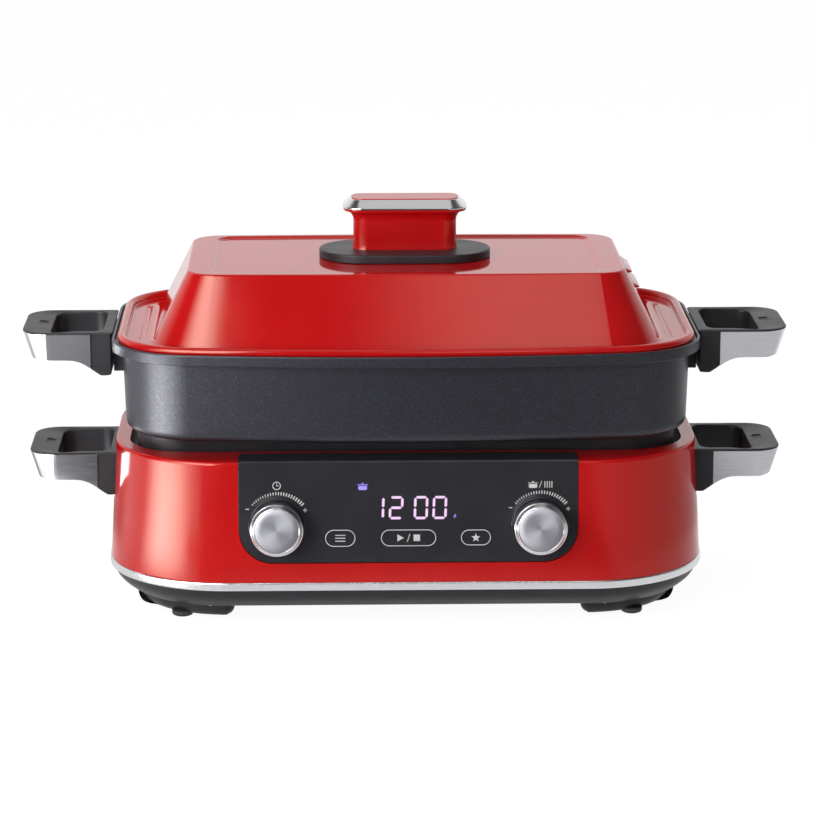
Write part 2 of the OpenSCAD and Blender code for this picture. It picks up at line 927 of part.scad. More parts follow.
// Holder of the probe: a cup through the reflector, with a flange on it and a hole for its lead
holder_t = 1.5;
holder_floor = 2;
holder_drop = 6;
holder_flange = 2.5;
holder_flange_t = 1.2;
holder_hole = 5;
holder_below = 2;
cap_play = 0.3;
holder_d = probe_d + 2 * (holder_t + cap_play);
cap_h = 8;
cap_wall = 1.5;
cap_z = pan_z - seat_gap - cap_h;
holder_low = liner_floor_z - holder_drop;
holder_top = pan_z - seat_gap - probe_travel - holder_below;
spring_low = holder_low + holder_floor;
spring_top = cap_z + cap_h - cap_wall;

module probe_holder() {
  color(steel)
    translate([0, 0, holder_low])
      difference() {
        union() {
          cylinder(d = holder_d, h = holder_top - holder_low);
          translate([0, 0, liner_floor_z - holder_low + liner_t])
            cylinder(d = holder_d + 2 * holder_flange, h = holder_flange_t);
        }
        translate([0, 0, holder_floor])
          cylinder(d = holder_d - 2 * holder_t, h = holder_top);
        translate([0, 0, -past])
          cylinder(d = holder_hole, h = 2 * past + holder_floor);
      }
}

// The cap slides down into the holder's open end
module probe_cap() {
  color(bright)
    translate([0, 0, cap_z])
      difference() {
        cylinder(d = probe_d, h = cap_h);
        translate([0, 0, -past])
          cylinder(d = probe_d - 2 * cap_wall, h = cap_h - cap_wall + past);
      }
}

coil_steps = 16;
coil_sides = 6;
spring_play = 0.1;

// Tube along a helix of the given height, drawn as one unbroken sweep with flat ends
module helix(r, wire, turns, h) {
  steps = turns * coil_steps;
  sides = coil_sides;
  pts = [for (i = [0:steps]) for (k = [0:sides - 1])
    let (a = 360 * turns * i / steps, b = 360 * k / sides, rr = r + wire / 2 * cos(b))
    [rr * cos(a), rr * sin(a), h * i / steps + wire / 2 * sin(b)]];
  walls = [for (i = [0:steps - 1]) for (k = [0:sides - 1])
    let (m = (k + 1) % sides, a = i * sides, b = (i + 1) * sides)
    each [[a + k, a + m, b + m], [a + k, b + m, b + k]]];
  polyhedron(pts, concat([[for (k = [sides - 1:-1:0]) k]], walls,
    [[for (k = [0:sides - 1]) steps * sides + k]]));
}

module probe_spring() {
  rise = spring_top - spring_low - spring_wire - 2 * spring_play;
  color(steel)
    translate([0, 0, spring_low + spring_wire / 2 + spring_play])
      helix((spring_d - spring_wire) / 2, spring_wire, spring_turns, rise);
}

// Heat shield

shield_t = 1;
shield_z = tray_floor_z + shield_up;
shield_hole = 3;
lead_hole = 12;
small_screw = 2.2;
shield_screw_l = 8;

module heat_shield() {
  color(bright)
    difference() {
      translate([0, 0, shield_z])
        linear_extrude(shield_t)
          rounded(shield_w / 2, shield_d / 2, shield_edge);
      shield_posts(shield_hole, shield_z - past, shield_t + 2 * past);
      for (sy = [-1, 1])
        translate([element_ends, sy * element_inner, shield_z - past])
          cylinder(d = lead_hole, h = shield_t + 2 * past);
    }
}

module shield_screws() {
  color(steel)
    at_corners(shield_w / 2 - shield_edge, shield_d / 2 - shield_edge)
      translate([0, 0, shield_z + shield_t])
        mirror([0, 0, 1])
          screw(small_screw, shield_screw_l - shield_t);
}

// Control panel with its strip on the top ring

// Point on the front wall: s down the wall from its top edge, out in front of its face
function wall_point(s, out) =
  [-base_y - sin(lean) * s - cos(lean) * out, ring_z - cos(lean) * s + sin(lean) * out];
// Place of a plane parallel to the front wall, out in front of it, at height z
function wall_y(z, out) = -base_y - tan(lean) * (ring_z - z) - out / cos(lean);

// Block along X in an L: down the front wall, from out in front of its face to in behind it,
// and back over the top ring between heights under and top
module panel_section(out, in, top, under, back) {
  reach = panel_l + panel_corner;
  translate([-base_x, 0, 0])
    rotate([90, 0, 90])
      linear_extrude(base_w)
        polygon([
          [wall_y(top, out), top], [back - base_y, top], [back - base_y, under],
          [wall_y(under, -in), under], wall_point(reach, -in), wall_point(reach, out)
        ]);
}

// Prism through the front wall, with the panel's outline grown by a gap
module panel_prism(grow) {
  w = panel_w / 2 + grow;
  l = panel_l + grow;
  r = panel_corner + grow;
  on_front()
    translate([0, base_y, 0])
      rotate([90, 0, 0])
        linear_extrude(base_d) {
          translate([-w, r - l])
            square([2 * w, l - r + panel_corner]);
          translate([r - w, -l])
            square([2 * (w - r), l]);
          for (sx = [-1, 1])
            translate([sx * (w - r), r - l])
              circle(r);
        }
}

module control_panel() {
  color(black)
    difference() {
      intersection() {
        panel_section(panel_proud, panel_back, ring_z + panel_proud, ring_under_z, panel_top_d);
        panel_prism(0);
      }
      for (side = [-1, 1])
        on_dial(side)
          translate([0, 0, -panel_t - past])
            cylinder(d = bush_d + 2 * fit_gap, h = panel_t + 2 * past);
    }
}

encoder_h = 6.5;
encoder_w = 14;
panel_back = panel_t - panel_proud;
board_y = panel_back + fit_gap + encoder_h + fit_gap;

module display() {
  color(cream)
    on_front()
      translate([-display_w / 2, panel_back + fit_gap, -display_down - display_h / 2])
        cube([display_w, encoder_h, display_h]);
}

board_margin = 12;
board_w = 2 * (dial_x + board_margin);
board_l = 50;
board_top = 8;
// Posts that hold the board to the panel's back
clip_post_d = 5;
clip_post_x = 45;
clip_post_edge = 5;

module control_board() {
  color(green)
    on_front()
      translate([-board_w / 2, board_y, -board_top - board_l])
        cube([board_w, board_t, board_l]);
}

module board_clips() {
  color(black)
    on_front()
      for (x = [-1, 1])
        for (s = [board_top + clip_post_edge, board_top + board_l - clip_post_edge])
          translate([x * clip_post_x, panel_back, -s])
            rotate([-90, 0, 0])
              cylinder(d = clip_post_d, h = board_y - panel_back);
}

// Encoder: how far its neck stands out of the panel, and the wall behind its shaft
bush_out = 3;
encoder_back = 1.5;
encoder_z = -panel_t - fit_gap - encoder_h;

module encoder(side) {
  color(steel)
    on_dial(side)
      difference() {
        union() {
          translate([-encoder_w / 2, -encoder_w / 2, encoder_z])
            cube([encoder_w, encoder_w, encoder_h]);
          translate([0, 0, encoder_z + encoder_h - join])
            cylinder(d = bush_d, h = panel_t + fit_gap + join + bush_out);
        }
        translate([0, 0, encoder_z + encoder_back])
          cylinder(r = shaft_d / 2 + shaft_play, h = encoder_h + panel_t + bush_out + past);
      }
}

// Walls of a dial: its front, the hub round the shaft, the skirt and the edge behind the bevel
dial_front = 4;
hub_wall = 2.5;
hub_play = 0.1;
skirt_t = 2.2;
bevel_step = 0.4;
// Recess of a dial's face, and the play round the face
face_deep = 0.8;
face_play = 0.1;
// Depth of a dial's grip lines
rib_deep = 0.5;
rib_end = 0.6;

module shaft(side) {
  low = encoder_z + encoder_back + shaft_play;
  color(steel)
    on_dial(side)
      translate([0, 0, low])
        cylinder(d = shaft_d, h = dial_gap + dial_l - dial_front - low);
}

bezel_w = 1;
bezel_gap = 0.4;
bezel_h = 0.8;

module dial_ring(side) {
  color(steel)
    on_dial(side)
      difference() {
        cylinder(d = dial_d + 2 * (bezel_gap + bezel_w), h = bezel_h);
        translate([0, 0, -past])
          cylinder(d = dial_d + 2 * bezel_gap, h = bezel_h + 2 * past);
      }
}

// Knob of a dial: a ribbed cylinder with a bevelled edge, hollow behind, on a hub
module dial(side) {
  rib_w = rib_deep * sqrt(2);
  color(bright)
    on_dial(side)
      translate([0, 0, dial_gap])
        difference() {
          union() {
            cylinder(d = dial_d, h = dial_l - dial_bevel);
            translate([0, 0, dial_l - dial_bevel])
              cylinder(d1 = dial_d - 2 * bevel_step, d2 = dial_face_d + 2 * dial_lip,
                h = dial_bevel);
          }
          for (i = [0:dial_ribs - 1])
            rotate(i * 360 / dial_ribs)
              translate([dial_d / 2, 0, -past])
                rotate(45)
                  translate([-rib_w / 2, -rib_w / 2, 0])
                    cube([rib_w, rib_w, dial_l - dial_bevel - rib_end + past]);
          translate([0, 0, -past])
            difference() {
              cylinder(d = dial_d - 2 * skirt_t, h = dial_l - dial_front);
              translate([0, 0, past + bush_out])
                cylinder(d = shaft_d + 2 * hub_wall, h = dial_l);
            }
          translate([0, 0, -past])
            cylinder(d = shaft_d + hub_play, h = dial_l - dial_front + past);
          translate([0, 0, dial_l - face_deep])
            cylinder(d = dial_face_d, h = face_deep + past);
        }
}

module dial_face(side) {
  color(steel)
    on_dial(side)
      translate([0, 0, dial_gap + dial_l - face_deep])
        cylinder(d = dial_face_d - 2 * face_play, h = face_deep);
}

// Electronics

// Places on the power board are measured from its middle
power_x = -10;
power_y = 12;
power_z = tray_floor_z + post_h;
part_z = power_z + board_t;
board_hole = 3;
board_screw_l = 7;
relay_at = [12, -26];
relay_size = [22, 16, 17];
coil_at = [13 - power_w / 2, -20];
coil_size = [26, 24, 19];
coil_foot = 4;
coil_step = 3;
cap_at = [-14, 22];
cap_d = 10;
cap_l = 16;
cap_pitch = 13;
cap_count = 3;
block_at = [power_w / 2 - 23, -22];
block_size = [10, 40, 12];
block_pitch = 10;
block_hole = 4;
buzzer_at = [-6, -20];
buzzer_d = 12;
buzzer_h = 8;
buzzer_hole = 2;

module power_board() {
  color(green)
    difference() {
      translate([power_x - power_w / 2, power_y - power_d / 2, power_z])
        cube([power_w, power_d, board_t]);
      board_posts(board_hole, power_z - past, board_t + 2 * past);
    }
}

module board_screws() {
  color(steel)
    translate([power_x, power_y, part_z])
      at_corners(power_w / 2 - board_edge, power_d / 2 - board_edge)
        mirror([0, 0, 1])
          screw(small_screw, board_screw_l);
}

// Frame on top of the power board
module on_board(at) {
  translate([power_x + at.x, power_y + at.y, part_z])
    children();
}

module relay() {
  color("royalblue")
    on_board(relay_at)
      cube(relay_size);
}

// Transformer: a coil former on a foot, stepped in at its sides and again at its top
module transformer() {
  color(charcoal)
    on_board(coil_at) {
      cube([coil_size.x, coil_size.y, coil_foot]);
      translate([coil_step, 0, coil_foot])
        cube([coil_size.x - 2 * coil_step, coil_size.y, coil_size.z - coil_foot - coil_step]);
      translate([2 * coil_step, coil_step, coil_size.z - coil_step])
        cube([coil_size.x - 4 * coil_step, coil_size.y - 2 * coil_step, coil_step]);
    }
}

module capacitors() {
  color("darkslateblue")
    on_board(cap_at)
      for (i = [0:cap_count - 1])
        translate([i * cap_pitch, 0, 0])
          cylinder(d = cap_d, h = cap_l);
}

module terminal_block() {
  color("seagreen")
    on_board(block_at)
      difference() {
        cube(block_size);
        for (y = [block_pitch / 2:block_pitch:block_size.y])
          translate([block_size.x / 2, y, block_size.z / 2])
            cylinder(d = block_hole, h = block_size.z);
      }
}

module buzzer() {
  color(black)
    on_board(buzzer_at)
      difference() {
        cylinder(d = buzzer_d, h = buzzer_h);
        translate([0, 0, buzzer_h / 2])
          cylinder(d = buzzer_hole, h = buzzer_h);
      }
}

lead_d = 3.2;
lead_bend_d = lead_d + 0.4;
lead_steps = 24;
// Heights of the leads' runs above the board: the element's two, and the inlet's two
element_lead_up = 26;
element_lead_low = 20;
inlet_lead_up = 15.5;
// Middle of the terminal block and the rest height of a lead's end on it
block_x = power_x + block_at.x + block_size.x / 2;
block_y = power_y + block_at.y + block_size.y / 2;
lead_end_z = part_z + block_size.z + fit_gap + lead_d / 2;

// Insulated lead through a list of points, with round joints
module lead(path) {
  for (i = [0:len(path) - 2])
    let (v = path[i + 1] - path[i], l = norm(v))
      translate(path[i])
        rotate([0, acos(v.z / l), atan2(v.y, v.x)])
          cylinder(d = lead_d, h = l, $fn = lead_steps);
  for (p = path)
    translate(p)
      sphere(d = lead_bend_d, $fn = lead_steps);
}

module inner_leads() {
  top = element_low - terminal_l - lead_bend_d / 2 - element_play / 3;
  color("firebrick")
    for (side = [-1, 1])
      let (x = element_ends, y = side * element_inner, far_y = block_y + side * 1.5 * block_pitch)
        lead([
          [x, y, top],
          [x, y, part_z + element_lead_up],
          [block_x, far_y, part_z + element_lead_low],
          [block_x, far_y, lead_end_z]
        ]);
  color("steelblue")
    for (i = [-1, 1])
      let (
        x = inlet_x + i * pin_step,
        tab_y = pin_end_y - lead_bend_d / 2 - fit_gap,
        y = block_y - i * block_pitch / 2,
        z = part_z + inlet_lead_up
      )
        lead([
          [x, tab_y, pin_end_z],
          [x, tab_y, z],
          [x, y, z],
          [block_x, y, z],
          [block_x, y, lead_end_z]
        ]);
}

// Mains inlet

// Socket wall, corner, and the flange round its mouth
inlet_wall = 2.4;
inlet_corner = 4;
inlet_flange = 5;
inlet_flange_t = 2;
// Pins: two outer ones above the middle of the socket and an inner one below it
pin_step = 7.5;
pin_up = 3;
pin_down = 4;
pin_tail = 6;
pin_short = 3;
pin_back = inlet_l + inlet_wall + pin_tail;
back_y = base_y + base_flare * (ring_z - inlet_z) / shell_h;
// Inner ends of the two outer pins
pin_end_y = back_y - cos(lean) * pin_back + sin(lean) * pin_up;
pin_end_z = inlet_z - cos(lean) * pin_up - sin(lean) * pin_back;

// Places its children at each pin's axis
module at_pins(z) {
  for (i = [-1:1])
    translate([i * pin_step, i == 0 ? -pin_down : pin_up, z])
      children();
}

module inlet_housing() {
  outer = inlet_wall - fit_gap;
  color(black)
    on_back()
      difference() {
        union() {
          translate([0, 0, -inlet_l - inlet_wall])
            linear_extrude(inlet_l + inlet_wall)
              rounded(inlet_w / 2 + outer, inlet_h / 2 + outer, inlet_corner - fit_gap);
          linear_extrude(inlet_flange_t)
            rounded(inlet_w / 2 + inlet_flange, inlet_h / 2 + inlet_flange,
              inlet_corner + inlet_flange - inlet_wall);
        }
        translate([0, 0, -inlet_l])
          linear_extrude(inlet_l + inlet_flange_t + past)
            rounded(inlet_w / 2, inlet_h / 2, inlet_corner - 1);
        at_pins(-inlet_l - inlet_wall - past)
          cylinder(d = pin_d, h = inlet_wall + 2 * past);
      }
}

module inlet_pins() {
  color(brass)
    on_back()
      at_pins(-pin_back)
        cylinder(d = pin_d, h = pin_back - pin_short);
}

// Side handles: x from the foot outwards, z from the bottom of the foot up

// Height of the handle screws above the bottom of a foot, and above the table on the base
screw_up = 0.45;
grip_screw_z = handle_foot_h * screw_up;
base_screw_z = ring_z - base_handle_down - handle_foot_h + grip_screw_z;

module handle_plan(inset) {
  intersection() {
    translate([0, -handle_w / 2])
      square([handle_l, handle_w]);
    translate([-inset, 0])
      rounded(handle_l, handle_w / 2 - inset, tip_corner - inset);
  }
}

// Underside of a handle: the foot's flat bottom, the steep rise beside it and the curve up to the
// loop, then the loop's rounded lower edge at the tip. Lengths along the handle and heights.
foot_flat = 8;
rise_l = 16;
rise_bend = 5;
rise_soft = 1;
tip_slant_l = 12;
tip_slant = [[7.5, 1.6], [4.8, 4.6]];

// Side view of a handle above its foot's bottom, the loop raised by the foot
module handle_side(low_trim, high_trim) {
  loop_z = handle_foot_h - loop_h + low_trim;
  top = handle_foot_h - high_trim;
  polygon([
    [0, 0], [foot_flat, 0], [strip_start + rise_soft, loop_z - rise_bend],
    [strip_start + rise_l / 2, loop_z - rise_soft], [strip_start + rise_l, loop_z],
    [handle_l - tip_slant_l, loop_z], for (p = tip_slant) [handle_l - p.x, loop_z + p.y],
    [handle_l, top], [0, top]
  ]);
}

module handle_body(inset, low_trim, high_trim) {
  intersection() {
    translate([0, handle_w / 2 + past, 0])
      rotate([90, 0, 0])
        linear_extrude(handle_w + 2 * past)
          handle_side(low_trim, high_trim);
    translate([0, 0, -past])
      linear_extrude(handle_foot_h + 2 * past)
        handle_plan(inset);
  }
}

// How far the strip lies below the handle's top, how far it hangs below the grip's edge, and the
// play between strip and grip
strip_down = 1.2;
strip_hang = 0.6;
strip_play = 0.1;
hole_r = 8;

module finger_hole() {
  hole_l = handle_l - handle_foot_t - tip_bar;
  translate([handle_foot_t + hole_l / 2, 0, -past])
    linear_extrude(handle_foot_h + 2 * past)
      rounded(hole_l / 2, handle_w / 2 - bar_w, hole_r);
}

// Material of the handle that the strip takes the place of
module strip_band(inset, grow) {
  difference() {
    handle_body(0, -loop_h / 4, strip_down - grow);
    translate([0, 0, -past])
      linear_extrude(handle_foot_h + 2 * past)
        handle_plan(inset);
    translate([-past, -handle_w, -past])
      cube([strip_start - grow + past, 2 * handle_w, handle_foot_h + 2 * past]);
  }
}

module grip() {
  difference() {
    handle_body(0, strip_hang, 0);
    strip_band(strip_t + strip_play, strip_play);
    finger_hole();
    for (sy = [-1, 1])
      translate([-past, sy * handle_screw_y, grip_screw_z])
        rotate([0, 90, 0])
          cylinder(d = handle_screw_d + 2 * screw_gap, h = handle_foot_t + 2 * past);
  }
}

module strip() {
  difference() {
    intersection() {
      handle_body(0, 0, strip_down);
      translate([strip_start, -handle_w, 0])
        cube([handle_l, 2 * handle_w, handle_foot_h]);
    }
    translate([0, 0, -past])
      linear_extrude(handle_foot_h + 2 * past)
        handle_plan(strip_t);
  }
}

// How far the handle screws reach behind the handle's foot, on the base and on the pan
base_screw_in = 8;
pan_screw_in = 4;

module handle_screws(l) {
  for (sy = [-1, 1])
    translate([handle_foot_t, sy * handle_screw_y, grip_screw_z])
      rotate([0, -90, 0])
        screw(handle_screw_d, l);
}

bracket_play = 0.3;
bracket_w = 52;
bracket_h = 16;
bracket_up = 1;

// Handle frames on the pan and on the base; side is 0 for right and 180 for left
pan_foot_x = rim_x + bracket_play;
pan_foot_z = rim_z + pan_handle_up - handle_foot_h;

module on_pan(side) {
  rotate(side)
    translate([pan_foot_x, 0, pan_foot_z])
      children();
}

module on_base(side) {
  rotate(side)
    translate([base_foot_x, 0, ring_z - base_handle_down - handle_foot_h])
      children();
}

// Pan

function pan_ring(inset, z) =
  [rim_x - inset, rim_y - inset, rim_corner - inset, side_bow, z];

// Edges of the pan's rim band: its outer roundings, the step under it and the raised lip's crown
band_edge = 0.8;
band_under = 1.2;
lip_crown = 0.4;

module pan_body() {
  wall_low = pan_setback + pan_draft;
  band_z = rim_z - rim_band_h;
  inner = pan_setback + pan_wall;
  floor_z = pan_z + pan_floor_t;
  color(charcoal)
    loft([
      for (a = [0:30:90])
        pan_ring(wall_low + pan_round * (1 - sin(a)), pan_z + pan_round * (1 - cos(a))),
      pan_ring(pan_setback, band_z - band_under),
      pan_ring(pan_setback - band_under, band_z - band_edge / 4),
      pan_ring(band_edge, band_z),
      pan_ring(0, band_z + band_edge),
      pan_ring(0, rim_z - band_edge),
      pan_ring(band_edge / 2, rim_z - band_edge / 4),
      pan_ring(rim_t / 2, rim_z),
      pan_ring(rim_t - lip_crown, rim_z - lip_crown),
      pan_ring(rim_t, rim_z - 3 * lip_crown),
      pan_ring(rim_t, ledge_z),
      pan_ring(inner - band_edge, ledge_z),
      pan_ring(inner, ledge_z - band_edge),
      for (a = [90:-30:0])
        pan_ring(inner + pan_draft + pan_round * (1 - sin(a)), floor_z + pan_round * (1 - cos(a)))
    ]);
}

bracket_in = rim_x - pan_setback + bracket_play;

module pan_brackets() {
  color(steel)
    for (side = [0, 180])
      rotate(side)
        translate([bracket_in, -bracket_w / 2, pan_foot_z + bracket_up])
          difference() {
            cube([pan_foot_x - bracket_in, bracket_w, bracket_h]);
            for (sy = [-1, 1])
              translate([-past, bracket_w / 2 + sy * handle_screw_y, grip_screw_z - bracket_up])
                rotate([0, 90, 0])
                  cylinder(d = handle_screw_d + strip_play,
                    h = pan_foot_x - bracket_in + 2 * past);
          }
}

// Lid

function lid_ring(inset, z) =
  [lid_x - inset, lid_y - inset, lid_corner - inset, side_bow, z];

hood_x = hood_w / 2;
hood_y = lid_y - bead_d - hood_inset;
hood_corner = 36;
top_corner = 16;
flange_top = lid_z + lid_t;
// Share of the sides' bow that the hood has lost at its flat top, and the crease round that top
bow_lost = 0.8;
crease = 0.6;
recess_corner = 12;

// Ring of the hood between its foot at f = 0 and its flat top at f = 1, drawn in by inset
function hood_ring(f, inset, z) =
  [hood_x + (top_w / 2 - hood_x) * f - inset, hood_y + (top_d / 2 - hood_y) * f - inset,
    hood_corner + (top_corner - hood_corner) * f - inset, side_bow * (1 - f * bow_lost), z];

// Height on the hood's slope at f
function hood_z(f) = flange_top + (top_z - flange_top) * f;

// Ring of the recess in the hood's flat top
function recess_ring(inset, z) =
  [top_w / 2 - recess_side - inset, top_d / 2 - recess_front - inset, recess_corner - inset,
    side_bow * (1 - bow_lost), z];

module lid_outer() {
  bead_r = bead_d / 2;
  loft([
    hood_ring(0.96, lid_t + crease, lid_under_z),
    hood_ring(0.9, lid_t, hood_z(0.93) - lid_t),
    hood_ring(0, lid_t, lid_z + lid_t / 2),
    hood_ring(0, lid_t / 2, lid_z),
    for (a = [0:45:270])
      lid_ring(bead_r * (1 - sin(a)), bead_z - bead_r * cos(a)),
    lid_ring(bead_d, flange_top),
    hood_ring(0, 0, flange_top),
    hood_ring(0.04, 0, hood_z(0.05)),
    hood_ring(0.92, 0, hood_z(0.93)),
    hood_ring(0.965, crease / 3, hood_z(0.98)),
    hood_ring(1, crease, top_z),
    recess_ring(0, top_z),
    recess_ring(recess_h / 2, recess_z)
  ]);
}

// Profile of a louvre: it opens downwards
louvre_run = top_z - flange_top;
hood_slope = atan2(hood_x - top_w / 2, louvre_run);
function slope_x(z) = top_w / 2 + (top_z - z) * tan(hood_slope);

module louvre(z) {
  root = -lid_t * 0.6;
  drop = louvre_out / 3;
  translate([slope_x(z), louvre_l / 2, z])
    rotate([90, 0, 0])
      linear_extrude(louvre_l)
        polygon([[root, louvre_out], [louvre_out / 2, drop], [louvre_out, -drop / 3],
          [louvre_out - drop, -drop], [root, -drop]]);
}

// Slot through the hood under a louvre
slot_h = 2.4;
slot_end = 2;

module louvre_slot(z) {
  translate([slope_x(z) - 2 * lid_t, slot_end - louvre_l / 2, z - louvre_out / 3 - slot_h / 2])
    cube([2.6 * lid_t, louvre_l - 2 * slot_end, slot_h]);
}

louvre_z = top_z - louvre_down;
groove_x = hood_x + groove_in;

module lid_shell() {
  color(red)
    difference() {
      union() {
        lid_outer();
        for (i = [0:1])
          louvre(louvre_z - i * louvre_pitch);
      }
      for (i = [0:1])
        louvre_slot(louvre_z - i * louvre_pitch);
      for (side = [-1, 1])
        translate([side * groove_x, 0, flange_top - groove_h])
          linear_extrude(past + groove_h)
            rounded(groove_w / 2, groove_l / 2, groove_w / 2 - hair);
      for (side = [-1, 1])
        translate([side * knob_screw_x, 0, lid_under_z - past])
          cylinder(d = knob_screw_d + 2 * screw_gap, h = lid_t + 2 * past);
    }
}

plate_edge = 1;

module knob_plate() {
  color(black)
    difference() {
      translate([0, 0, recess_z + fit_gap]) {
        linear_extrude(plate_h - plate_edge)
          rounded(plate_w / 2, plate_d / 2, plate_d / 2 - hair);
        linear_extrude(plate_h)
          rounded(plate_w / 2 - plate_edge, plate_d / 2 - plate_edge, plate_d / 2 - plate_edge - hair);
      }
      for (side = [-1, 1])
        translate([side * knob_screw_x, 0, recess_z])
          cylinder(d = knob_screw_d + 2 * screw_gap, h = plate_h + past);
    }
}

// Corner radius of the knob, depth of its screws, and how far its neck widens at its root
knob_corner = 13;
knob_bore_l = 14;
neck_root = 0.5;
neck_root_h = 6;
flange_edge = 2;

function neck_ring(out, z) =
  [neck_w / 2 + out, neck_d / 2 + out, min(neck_d / 2 - 1 + out, knob_corner), 0, z];

module knob_body() {
  flare = (grip_w - neck_w) / 2;
  low = knob_flange_z - flange_edge;
  color(red)
    difference() {
      loft([
        neck_ring(neck_root, plate_z),
        neck_ring(0, plate_z + neck_root_h),
        for (a = [0:30:60])
          neck_ring(flare * (1 - cos(a)), low - flare * (1 - sin(a))),
        neck_ring(flare - neck_root, knob_flange_z - flange_edge * 0.8),
        neck_ring(flare - neck_root, knob_flange_z)
      ]);
      for (side = [-1, 1])
        translate([side * knob_screw_x, 0, plate_z - past])
          cylinder(d = knob_screw_d, h = knob_bore_l + past);
    }
}

ring_edge = 1;
ring_wall = 0.8;
cap_proud = 0.5;

module knob_ring() {
  w = grip_w / 2;
  d = grip_d / 2;
  inner = grip_bevel + ring_wall;
  color(bright)
    difference() {
      loft([
        [w, d, knob_corner, 0, knob_flange_z],
        [w, d, knob_corner, 0, knob_flange_z + ring_edge],
        [w - grip_bevel, d - grip_bevel, knob_corner - grip_bevel, 0, knob_top_z]
      ]);
      translate([0, 0, knob_flange_z - past])
        linear_extrude(grip_ring_h + 2 * past)
          rounded(w - inner, d - inner, knob_corner - inner);
    }
}

module knob_cap() {
  inner = grip_bevel + ring_wall + fit_gap;
  color(red)
    translate([0, 0, knob_flange_z])
      linear_extrude(grip_ring_h + cap_proud)
        rounded(grip_w / 2 - inner, grip_d / 2 - inner, knob_corner - inner);
}

washer_t = 1;
washer_d = 11;

module knob_washers() {
  color(steel)
    for (side = [-1, 1])
      translate([side * knob_screw_x, 0, lid_under_z - washer_t])
        difference() {
          cylinder(d = washer_d, h = washer_t);
          translate([0, 0, -past])
            cylinder(d = knob_screw_d + 2 * screw_gap, h = washer_t + 2 * past);
        }
}

module knob_screws() {
  color(steel)
    for (side = [-1, 1])
      translate([side * knob_screw_x, 0, lid_under_z - washer_t])
        screw(knob_screw_d - thread_less, washer_t + lid_t + plate_h + knob_bore_l - flange_edge);
}

framed() base_shell();
framed() trim_band();
framed() base_tray();
framed() foot_pads();
framed() tray_screws();
framed() collar();
framed() collar_screws();
framed() reflector();
framed() heating_element();
framed() element_clips();
framed() element_bushes();
framed() element_terminals();
framed() probe_holder();
framed() probe_cap();
framed() probe_spring();
framed() heat_shield();
framed() shield_screws();
framed() control_panel();
framed() display();
framed() control_board();
framed() board_clips();
framed() encoder(-1);  // left_encoder
framed() encoder(1);  // right_encoder
framed() dial_ring(-1);  // left_dial_ring
framed() dial_ring(1);  // right_dial_ring
framed() shaft(-1);  // left_shaft
framed() shaft(1);  // right_shaft
framed() dial(-1);  // left_dial
framed() dial(1);  // right_dial
framed() dial_face(-1);  // left_dial_face
framed() dial_face(1);  // right_dial_face
framed() power_board();
framed() board_screws();
framed() relay();
framed() transformer();
framed() capacitors();
framed() terminal_block();
framed() buzzer();
framed() inner_leads();
framed() inlet_housing();
framed() inlet_pins();
framed() color(black) on_base(180) grip();  // left_base_grip
framed() color(black) on_base(0) grip();  // right_base_grip
framed() color(bright) on_base(180) strip();  // left_base_strip
framed() color(bright) on_base(0) strip();  // right_base_strip
framed() color(steel) for (side = [0, 180]) on_base(side) handle_screws(handle_foot_t + base_screw_in);  // base_handle_screws
framed() pan_body();
framed() pan_brackets();
framed() color(black) on_pan(180) grip();  // left_pan_grip
framed() color(black) on_pan(0) grip();  // right_pan_grip
framed() color(bright) on_pan(180) strip();  // left_pan_strip
framed() color(bright) on_pan(0) strip();  // right_pan_strip
framed() color(steel) for (side = [0, 180]) on_pan(side) handle_screws(handle_foot_t + pan_screw_in);  // pan_handle_screws
framed() lid_shell();
framed() knob_plate();
framed() knob_body();
framed() knob_ring();
framed() knob_cap();
framed() knob_washers();
framed() knob_screws();
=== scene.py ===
"""Looks of a countertop multicooker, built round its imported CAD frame.

Lengths are millimetres until a mesh is made, which is in metres. +Z is up and the panel faces -Y.
"""

import json
from math import acos, atan2, copysign, cos, hypot, pi, radians, sin, sqrt, tan, tau

import bmesh
import bpy
from mathutils import Matrix, Vector


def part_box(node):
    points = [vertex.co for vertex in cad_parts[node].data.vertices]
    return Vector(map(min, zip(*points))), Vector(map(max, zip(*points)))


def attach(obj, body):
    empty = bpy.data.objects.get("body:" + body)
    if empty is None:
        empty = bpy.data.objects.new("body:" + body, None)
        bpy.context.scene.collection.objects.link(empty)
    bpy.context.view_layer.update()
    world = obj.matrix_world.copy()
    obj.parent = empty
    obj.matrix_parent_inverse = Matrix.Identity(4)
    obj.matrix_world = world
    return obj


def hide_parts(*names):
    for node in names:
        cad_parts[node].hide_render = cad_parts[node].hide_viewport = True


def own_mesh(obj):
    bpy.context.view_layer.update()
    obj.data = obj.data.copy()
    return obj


MM = 0.001
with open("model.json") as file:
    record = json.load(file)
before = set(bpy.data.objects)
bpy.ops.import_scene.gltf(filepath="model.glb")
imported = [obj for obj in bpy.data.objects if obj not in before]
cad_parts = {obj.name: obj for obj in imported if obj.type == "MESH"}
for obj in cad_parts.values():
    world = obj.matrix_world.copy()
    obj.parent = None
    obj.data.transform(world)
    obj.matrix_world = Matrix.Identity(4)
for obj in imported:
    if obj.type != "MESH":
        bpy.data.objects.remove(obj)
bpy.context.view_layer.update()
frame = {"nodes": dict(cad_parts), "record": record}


def box_mm(node):
    """Lowest and highest corner of a CAD node, in millimetres."""
    lo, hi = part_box(node)
    return lo / MM, hi / MM


